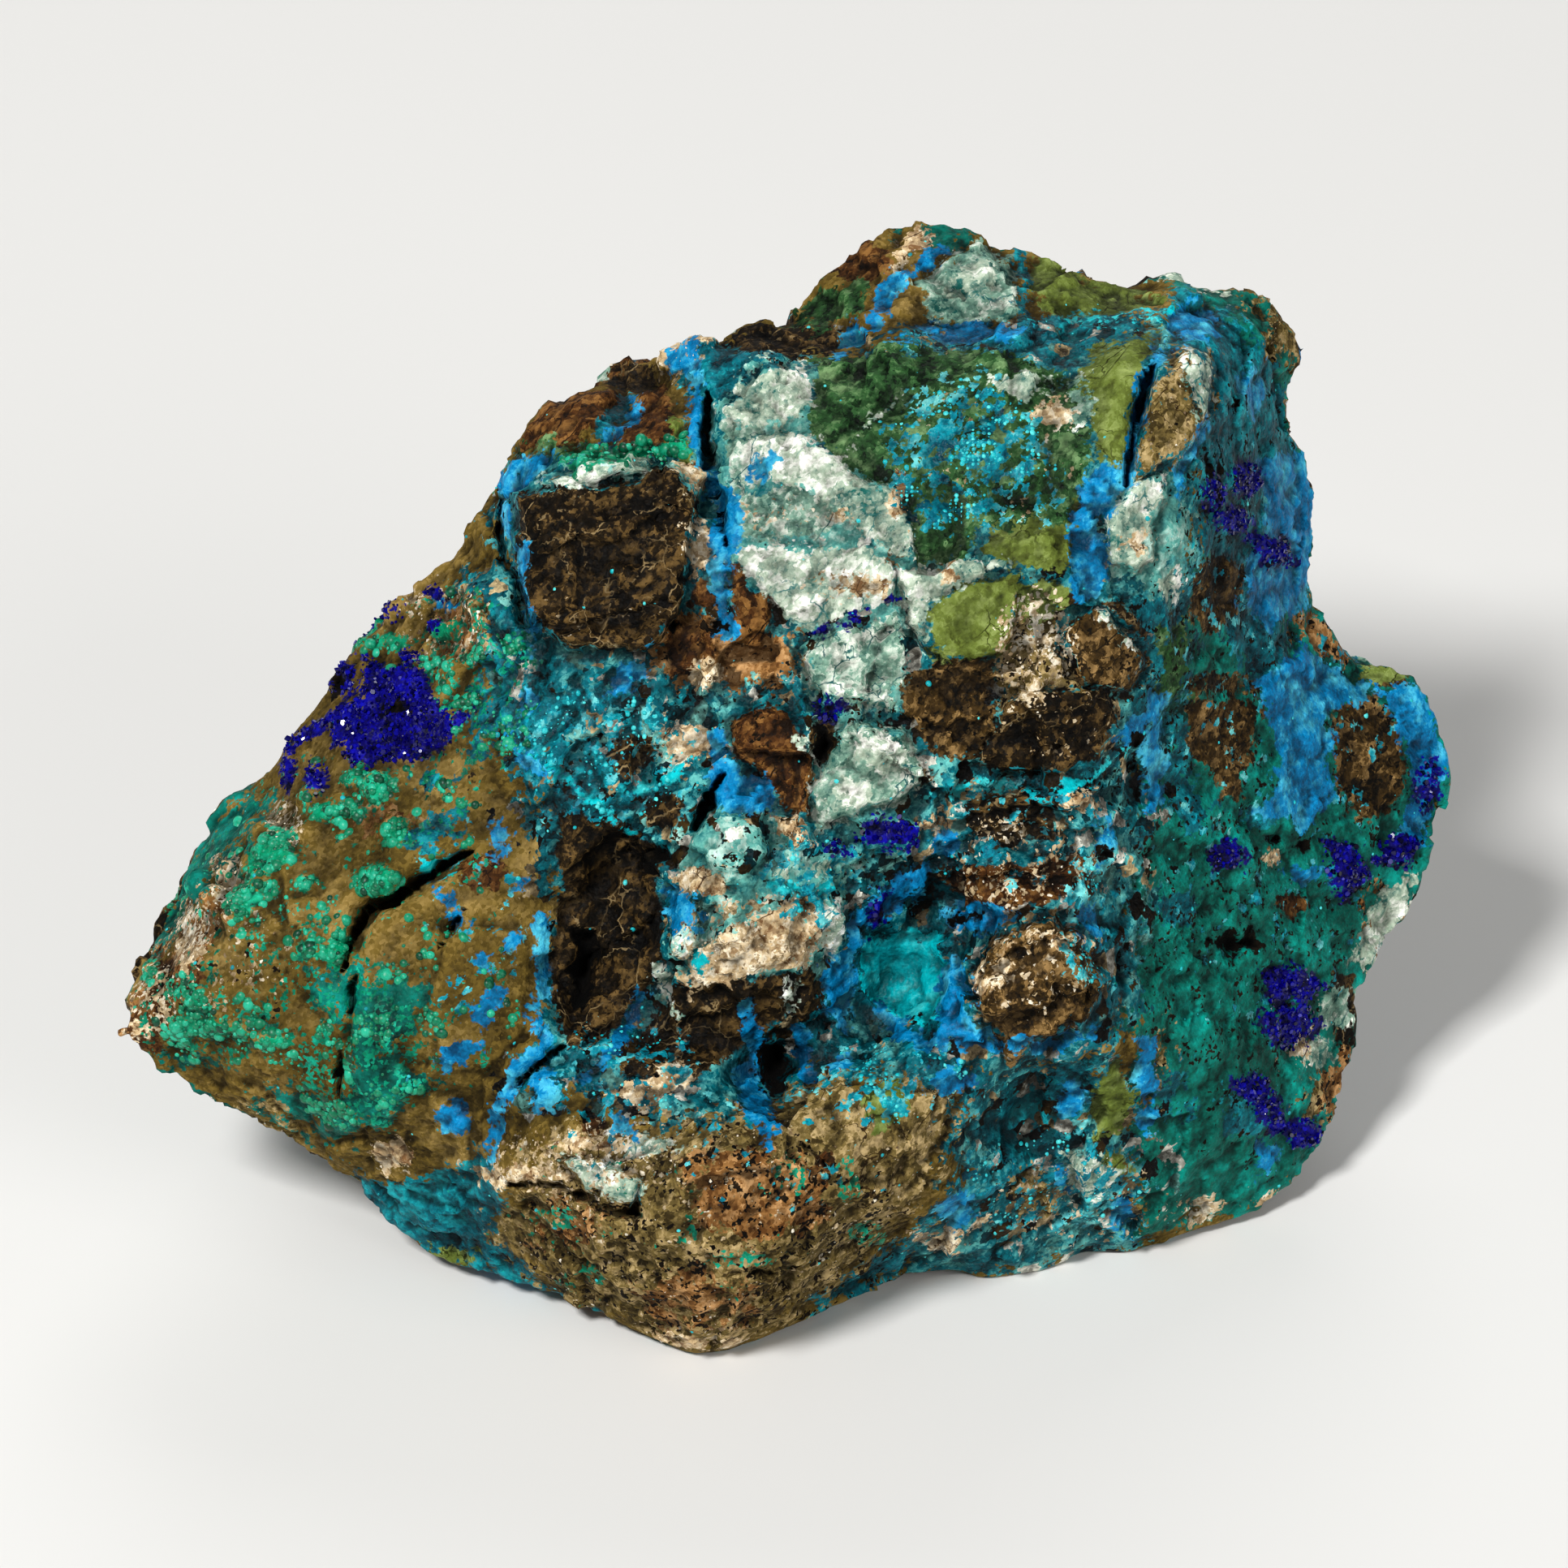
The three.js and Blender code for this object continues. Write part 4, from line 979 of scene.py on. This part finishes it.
def grain(points, places, seen, depths):
    """The broken grain of the ground and the lumps of each mineral, in millimetres."""
    rugged = ruggedness(places, seen)
    height = np.zeros(len(points))
    for size, seed, broken in FACETS:
        height += broken * rugged * chips(points, size, seed)
    for size, seed, octaves, broken, everywhere in LUMPS:
        height += (everywhere + broken * rugged) * cloud(points, size, seed, octaves)
    height += GRAPE_HEIGHT * cover(depths, GRAPES, *GRAPE_EDGE) * bubbles(points, *GRAPE_BUBBLES)
    height += CRUST_HEIGHT * cover(depths, CRUSTS, *CRUST_EDGE) * bubbles(points, *CRUST_BUBBLES)
    height += GLASS_HEIGHT * cover(depths, GLASSES, *GLASS_EDGE) * chips(points, *GLASS_CHIPS)
    return height + DRUSE_HEIGHT * smoothstep(*DRUSE_EDGE, depths["azurite"])


def sculpt(points, normals, seen, depths):
    """The skin as it is broken: clasts, ledges, cracks and holes in front, grain all over."""
    places = on_grid(points)
    lift = clast_lift(points, places) + strata(points, places) - crack_depth(points, places)
    lift -= HOLE_DEPTH * smoothstep(*HOLE_EDGE, depths["void"])
    height = smoothstep(*BASE_FADE, points[:, 2]) * grain(points, places, seen, depths)
    moved = points + MILLIMETRE * ((lift * seen)[:, None] * OUTWARD + height[:, None] * normals)
    moved[:, 2] = np.maximum(moved[:, 2], 0)
    return moved


def linear(colour):
    """An sRGB colour from 0 to 255 as the shader's own linear values."""
    shares = [value / 255 for value in colour]
    return [s / 12.92 if s <= 0.04045 else ((s + 0.055) / 1.055) ** 2.4 for s in shares] + [1.0]


class Nodes:
    """Short ways to add shader nodes to one material."""

    def __init__(self, name):
        self.material = bpy.data.materials.new(name)
        self.material.use_nodes = True
        self.tree = self.material.node_tree
        self.shader = self.tree.nodes["Principled BSDF"]

    def add(self, kind, **settings):
        node = self.tree.nodes.new(kind)
        for key, value in settings.items():
            setattr(node, key, value)
        return node

    def put(self, socket, value):
        """Links a socket, or sets it to a plain value."""
        if isinstance(value, bpy.types.NodeSocket):
            self.tree.links.new(value, socket)
        else:
            socket.default_value = value

    def math(self, operation, *values):
        node = self.add("ShaderNodeMath", operation=operation)
        for socket, value in zip(node.inputs, values):
            self.put(socket, value)
        return node.outputs[0]

    def sum(self, values, shares, start=0.0):
        """Values added in shares to a start."""
        for value, share in zip(values, shares):
            start = self.math("MULTIPLY_ADD", value, share, start)
        return start

    def ramp(self, value, low, high, start=0.0, end=1.0):
        """start below low, end above high, smooth between."""
        node = self.add("ShaderNodeMapRange", interpolation_type="SMOOTHSTEP")
        for socket, given in zip(node.inputs, (value, low, high, start, end)):
            self.put(socket, given)
        return node.outputs[0]

    def attribute(self, name, output):
        return self.add("ShaderNodeAttribute", attribute_name=name).outputs[output]

    def stored(self, names):
        """The skin's own values by name, which are kept three to an attribute."""
        sockets = {}
        for start in range(0, len(names), 3):
            parts = self.add("ShaderNodeSeparateXYZ")
            self.put(parts.inputs[0], self.attribute(names[start], "Vector"))
            sockets.update(zip(names[start:start + 3], parts.outputs))
        return sockets

    def place(self):
        return self.add("ShaderNodeTexCoord").outputs["Object"]

    def parts(self, colour, gain):
        """The three values of a colour, spread evenly about 0."""
        node = self.add("ShaderNodeSeparateColor")
        self.put(node.inputs[0], colour)
        return [self.math("MULTIPLY_ADD", part, gain, -gain / 2) for part in node.outputs]

    def clouds(self, size, detail, roughness=0.5):
        """A noise with lumps of a size in metres."""
        node = self.add("ShaderNodeTexNoise")
        for socket, value in (("Scale", 1 / size), ("Detail", detail), ("Roughness", roughness)):
            node.inputs[socket].default_value = value
        self.put(node.inputs["Vector"], self.place())
        return node

    def noise(self, size, detail):
        """Three separate noises about -2 to 2, mostly within 1, with lumps of a size in metres."""
        return self.parts(self.clouds(size, detail, NOISE_ROUGHNESS).outputs["Color"], NOISE_GAIN)

    def net(self, size, wander, bend, feature):
        """A net of cells of a size in metres, bent by a noise."""
        bent = self.add("ShaderNodeVectorMath", operation="MULTIPLY_ADD")
        self.put(bent.inputs[0], wander)
        bent.inputs[1].default_value = [bend * size] * 3
        self.put(bent.inputs[2], self.place())
        node = self.add("ShaderNodeTexVoronoi", feature=feature)
        node.inputs["Scale"].default_value = 1 / size
        self.put(node.inputs["Vector"], bent.outputs[0])
        return node

    def web(self, size, wander):
        """Thin lines between the cells of a net: 1 on a line, 0 off it."""
        edges = self.net(size, wander, LINE_BEND, "DISTANCE_TO_EDGE").outputs["Distance"]
        return self.ramp(edges, *LINE_EDGE, 1.0, 0.0)

    def cells(self, size, wander):
        """Three values about -1 to 1 for each cell of a net: crisp grains."""
        return self.parts(self.net(size, wander, CELL_BEND, "F1").outputs["Color"], CELL_GAIN)

    def colour_row(self, value, colours, places, kind):
        """A colour from a row of colours, each with its place, for a value from 0 to 1."""
        node = self.add("ShaderNodeValToRGB")
        row = node.color_ramp
        row.interpolation = kind
        for _ in colours[2:]:
            row.elements.new(0.5)
        for element, place, colour in zip(row.elements, places, colours):
            element.position = place
            element.color = linear(colour)
        self.put(node.inputs[0], value)
        return node.outputs[0]

    def tones(self, value, colours):
        """A colour between dark, middle and light tones, for a value from 0 to 1."""
        return self.colour_row(value, colours, TONE_PLACES, "LINEAR")

    def choice(self, value, colours):
        """One of several plain colours, for a value that a cell has."""
        places = [number / len(colours) for number in range(len(colours))]
        share = self.math("MULTIPLY_ADD", value, 1 / CELL_GAIN, 0.5)
        return self.colour_row(share, colours, places, "CONSTANT")

    def multiply(self, first, second):
        node = self.add("ShaderNodeVectorMath", operation="MULTIPLY")
        self.put(node.inputs[0], first)
        self.put(node.inputs[1], second)
        return node.outputs[0]

    def mix(self, share, first, second, kind="RGBA"):
        """One value into another by a share: colours have other sockets than numbers."""
        node = self.add("ShaderNodeMix", data_type=kind)
        first_socket, second_socket, result = (6, 7, 2) if kind == "RGBA" else (2, 3, 0)
        self.put(node.inputs[0], share)
        self.put(node.inputs[first_socket], first)
        self.put(node.inputs[second_socket], second)
        return node.outputs[result]


def stone_patterns(nodes):
    """The noises, cells and lines that the minerals share, and their edges, shades and grit."""
    broad = nodes.noise(*BROAD_NOISE)
    middle = nodes.noise(*MIDDLE_NOISE)
    fine = nodes.noise(*FINE_NOISE)
    grains = nodes.cells(GRAIN_CELL, fine[0])
    crumbs = nodes.cells(CRUMB_CELL, fine[1])
    lines = nodes.web(LINE_CELL, middle[0])
    return {
        "broad": broad,
        "middle": middle,
        "fine": fine,
        "grains": grains,
        "crumbs": crumbs,
        "shards": nodes.cells(SHARD_CELL, middle[2]),
        "lines": nodes.math("MULTIPLY", lines, nodes.ramp(broad[1], *LINE_FADE)),
        "edges": [nodes.sum((middle[i], fine[i - 2]), EDGE_SHARES) for i in range(3)],
        "shades": [nodes.sum((middle[i - 2], broad[i]), SHADE_SHARES, MIDDLE_TONE) for i in range(3)],
        "grits": [nodes.sum((grains[i - 1], crumbs[i - 2]), GRIT_SHARES) for i in range(3)],
    }


def mineral_mask(nodes, name, turn, value, patterns):
    """1 inside a mineral and 0 outside, with its ragged edge."""
    inside = nodes.math("MULTIPLY_ADD", patterns["edges"][turn], PALETTE[name].ragged, value)
    return nodes.ramp(inside, *MINERAL_EDGE)


def speck_mask(nodes, name, turn, level, patterns):
    """1 on loose specks: where noise and cells together pass the level."""
    cells = patterns["grains" if name == "blue_specks" else "crumbs"][turn]
    if name == "rubble":
        cells = patterns["shards"][1]
    spread = nodes.sum((patterns["middle"][turn], cells), SPECK_SHARES)
    return nodes.ramp(nodes.math("SUBTRACT", spread, level), *SPECK_EDGE)


def mineral_paint(nodes, name, turn, patterns):
    """A mineral's own colours, with its grit and lines."""
    look = PALETTE[name]
    value = nodes.math("MULTIPLY_ADD", patterns["grits"][turn], look.grain, patterns["shades"][turn])
    paint = nodes.tones(value, look.tones)
    if name == "rubble":
        paint = nodes.multiply(paint, nodes.choice(patterns["shards"][0], RUBBLE))
    if look.lines:
        paint = nodes.mix(patterns["lines"], paint, linear(look.lines))
    return paint


def stone_material():
    """All the minerals of the skin, one over another, each with ragged edges and tones of its own."""
    nodes = Nodes("mineral_stone")
    values = nodes.stored(STORED)
    patterns = stone_patterns(nodes)
    fine = patterns["fine"]
    ground = nodes.sum((patterns["broad"][0], patterns["crumbs"][0]), GROUND_SHARES, MIDDLE_TONE)
    colour = nodes.tones(ground, PALETTE["limonite"].tones)
    roughness = PALETTE["limonite"].roughness
    for place, name in enumerate(LAYERS):
        masked = speck_mask if name in SPECKS else mineral_mask
        mask = masked(nodes, name, place % 3, values[name], patterns)
        colour = nodes.mix(mask, colour, mineral_paint(nodes, name, place % 3, patterns))
        roughness = nodes.mix(mask, roughness, PALETTE[name].roughness, "FLOAT")
    # Painted shade: the colour is darkened in hollows and lightened on raised edges.
    hollow = nodes.math("MULTIPLY_ADD", fine[1], HOLLOW_NOISE, values["hollow"])
    hollow_shade_and_edge_lightening = nodes.ramp(hollow, *HOLLOW_EDGE, EDGE_GAIN, HOLLOW_GAIN)
    bump = nodes.add("ShaderNodeBump")
    bump.inputs["Strength"].default_value = BUMP_STRENGTH
    bump.inputs["Distance"].default_value = BUMP_DEPTH
    nodes.put(bump.inputs["Height"], nodes.clouds(*BUMP_NOISE).outputs["Fac"])
    nodes.put(nodes.shader.inputs["Base Color"], nodes.multiply(colour, hollow_shade_and_edge_lightening))
    uneven = nodes.math("MULTIPLY_ADD", fine[0], ROUGHNESS_NOISE, roughness)
    nodes.put(nodes.shader.inputs["Roughness"], uneven)
    nodes.put(nodes.shader.inputs["Normal"], bump.outputs[0])
    nodes.shader.inputs["Specular IOR Level"].default_value = STONE_SPECULAR
    return nodes.material


def store_values(mesh, values):
    """Keeps the skin's values on its vertices, three to an attribute that has the first one's name."""
    for start in range(0, len(STORED), 3):
        columns = np.zeros((len(mesh.vertices), 3), np.float32)
        for column, name in enumerate(STORED[start:start + 3]):
            columns[:, column] = values[name]
        layer = mesh.attributes.new(STORED[start], "FLOAT_VECTOR", "POINT")
        layer.data.foreach_set("vector", columns.ravel())


def on_stone(piece):
    """A piece that is part of the stone."""
    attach(piece, "root")


def stone_skin():
    """The whole stone, in place of its CAD solid. Returns its points, normals, minerals and specks."""
    piece = fine_skin(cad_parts["stone"])
    mesh = piece.data
    points = vertex_array(mesh)
    normals = vertex_array(mesh, "normal")
    average = neighbour_average(mesh)
    seen = seen_share(normals, average)
    depths = mineral_depths(points, seen)
    specks = speck_shares(points, seen)
    moved = sculpt(points, normals, seen, depths)
    # How hollow each vertex lies, for the painted shade in hollows and the lighter raised edges.
    hollow = HOLLOW_SHARE * sum(hollowness(moved, normals, average, *scale) for scale in HOLLOWS)
    hollow *= 1 - GLASSY_SHARE * cover(depths, GLASSY, *GLASSY_EDGE)
    mesh.vertices.foreach_set("co", moved.ravel())
    levels = {name: np.log((1 - shares) / shares) / SPECK_SPREAD for name, shares in specks.items()}
    store_values(mesh, {"hollow": hollow, **depths, **levels})
    mesh.materials.append(stone_material())
    mesh.polygons.foreach_set("use_smooth", [True] * len(mesh.polygons))
    mesh.update()
    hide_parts("stone")
    on_stone(piece)
    return moved, vertex_array(mesh, "normal"), depths, specks


def ball():
    """A small round bead of radius 1."""
    shape = bmesh.new()
    bmesh.ops.create_icosphere(shape, subdivisions=2, radius=1)
    return shape


def crystal():
    """A stubby six-sided crystal of radius 1 that stands on z = 0 and ends in a slanted tip."""
    shape = bmesh.new()
    bmesh.ops.create_cone(shape, cap_ends=True, segments=6, radius1=1, radius2=DRUSE_TIP, depth=2)
    for vertex in shape.verts:
        vertex.co.z += 1 + (DRUSE_SLANT * vertex.co.x if vertex.co.z > 0 else 0)
    bmesh.ops.triangulate(shape, faces=shape.faces)
    return shape


def lump():
    """A rough grain of radius about 1."""
    shape = bmesh.new()
    bmesh.ops.create_icosphere(shape, subdivisions=1, radius=1)
    draw = np.random.default_rng(SEED)
    for vertex in shape.verts:
        vertex.co *= draw.uniform(*LUMP_REACH)
    return shape


def grain_material(name, tones, roughness):
    """One mineral in small pieces, each with a tone of its own."""
    nodes = Nodes(name)
    fine = nodes.noise(*LOOSE_GRAIN_NOISE)
    value = nodes.sum((nodes.attribute("tone", "Fac"), fine[0]), LOOSE_GRAIN_SHARES, MIDDLE_TONE)
    nodes.put(nodes.shader.inputs["Base Color"], nodes.tones(value, tones))
    nodes.shader.inputs["Roughness"].default_value = roughness
    nodes.shader.inputs["Specular IOR Level"].default_value = GRAIN_SPECULAR
    return nodes.material


def unit(vectors):
    return vectors / np.linalg.norm(vectors, axis=1)[:, None]


def scattered_corners(corners, points, normals, weights, kind, draw):
    """The corners of many copies of a shape, set on the skin where the weights are high."""
    chosen = draw.choice(len(points), kind.count, replace=False, p=weights / weights.sum())
    upward = unit(normals[chosen] + kind.lean * draw.normal(size=(kind.count, 3)))
    side = unit(np.cross(upward, draw.normal(size=(kind.count, 3))))
    turns = np.stack([side, np.cross(upward, side), upward], axis=2)
    least, greatest = kind.sizes
    size = least + (greatest - least) * draw.random(kind.count) ** 2
    widths = draw.uniform(*STREWN_WIDTHS, kind.count)
    heights = draw.uniform(*kind.heights, kind.count)
    stretch = size[:, None] * np.stack([np.ones(kind.count), widths, heights], axis=1)
    spots = points[chosen] - kind.sink * size[:, None] * normals[chosen]
    places = np.einsum("nij,nmj->nmi", turns, corners[None] * stretch[:, None]) + spots[:, None]
    places[..., 2] = np.maximum(places[..., 2], STREWN_LOWEST)
    return places


def strew(name, shape, points, normals, weights):
    """One piece of many small shapes of one mineral, each with its own size, turn and tone."""
    kind = STREWN[name]
    draw = np.random.default_rng(SEED + kind.seed)
    corners = np.array([v.co for v in shape.verts])
    faces = np.array([[v.index for v in face.verts] for face in shape.faces])
    shape.free()
    places = scattered_corners(corners, points, normals, weights, kind, draw)
    joined = faces[None] + len(corners) * np.arange(kind.count)[:, None, None]
    mesh = bpy.data.meshes.new(name)
    mesh.from_pydata(places.reshape(-1, 3).tolist(), [], joined.reshape(-1, 3).tolist())
    tones = np.repeat(draw.normal(0, STREWN_TONES, kind.count), len(corners)).astype(np.float32)
    mesh.attributes.new("tone", "FLOAT", "POINT").data.foreach_set("value", tones)
    mesh.materials.append(grain_material(name + "_look", PALETTE[kind.mineral].tones, kind.roughness))
    mesh.polygons.foreach_set("use_smooth", [kind.smooth] * len(mesh.polygons))
    piece = bpy.data.objects.new(name, mesh)
    bpy.context.scene.collection.objects.link(piece)
    on_stone(piece)


def strew_minerals(points, normals, depths, specks):
    """Malachite beads, chrysocolla drops, azurite crystals and loose grains of quartz and sand."""
    clumps = smoothstep(*CLUMP_EDGE, cloud(points, *CLUMP_NOISE))
    on_rock = 1 - cover(depths, ("void", "azurite"), *ROCK_EDGE)
    scattered = np.clip(specks["green_specks"] - SPECKS_BEHIND, 0, 1)
    beads = BEADS_INSIDE * smoothstep(*BEAD_EDGE, depths["malachite"])
    beads += BEADS_AROUND * scattered * clumps ** 2
    beads *= 1 - smoothstep(*BARE_EDGE, depths["sand"])
    strew("malachite_beads", ball(), points, normals, beads * on_rock)
    drops = np.clip(specks["blue_specks"] - DROP_LEVEL, 0, 1) * clumps + DROPS_EVERYWHERE
    strew("chrysocolla_drops", ball(), points, normals, drops * on_rock)
    druse = smoothstep(*GRAVEL_EDGE, depths["azurite"]) * (1 - smoothstep(*BARE_EDGE, depths["void"]))
    strew("azurite_crystals", crystal(), points, normals, druse)
    gravel = smoothstep(*GRAVEL_EDGE, depths["cream"])
    gravel += GRAVEL_ON_SAND * smoothstep(*GRAVEL_EDGE, depths["sand"])
    gravel += GRAVEL_AROUND * np.clip(specks["pale_specks"] - SPECKS_BEHIND, 0, 1)
    strew("pale_grains", lump(), points, normals, gravel * on_rock)


def floor():
    """A plain pale floor that runs well behind the stone."""
    bpy.ops.mesh.primitive_plane_add(size=FLOOR_SIDE)
    plane = bpy.context.object
    plane.name = "floor"
    nodes = Nodes("pale_floor")
    nodes.shader.inputs["Base Color"].default_value = linear(FLOOR_COLOUR)
    nodes.shader.inputs["Roughness"].default_value = FLOOR_ROUGHNESS
    plane.data.materials.append(nodes.material)


def soft_light(name, place, size, power):
    """A square studio lamp that looks at the stone."""
    lamp = bpy.data.lights.new(name, "AREA")
    lamp.size = size
    lamp.energy = power
    holder = bpy.data.objects.new(name, lamp)
    holder.location = place
    aim = Vector(SHOW_FACE_CENTRE) - holder.location
    holder.rotation_euler = aim.to_track_quat("-Z", "Y").to_euler()
    bpy.context.scene.collection.objects.link(holder)


def studio():
    """Soft light from above, from the side and from behind, and a dim even surround."""
    for name, (place, size, power) in LAMPS.items():
        soft_light(name, place, size, power)
    world = bpy.data.worlds.new("surround")
    world.use_nodes = True
    background = world.node_tree.nodes["Background"]
    background.inputs["Color"].default_value = (1, 1, 1, 1)
    background.inputs["Strength"].default_value = SURROUND
    bpy.context.scene.world = world
    bpy.context.scene.view_settings.view_transform = "Standard"


def camera():
    """The photograph's view: square on to the show face, from a close-up's distance."""
    lens = bpy.data.cameras.new("camera")
    lens.sensor_width = SENSOR
    lens.lens = lens.sensor_width * VIEW_DISTANCE / (FRAME_SIDE * GRID)
    lens.clip_start = NEAREST
    holder = bpy.data.objects.new("camera", lens)
    holder.location = SHOW_FACE_CENTRE + VIEW_DISTANCE * OUTWARD
    holder.rotation_euler = (math.pi / 2 - TILT, 0, 0)
    bpy.context.scene.collection.objects.link(holder)
    bpy.context.scene.camera = holder


camera()
studio()
floor()
strew_minerals(*stone_skin())
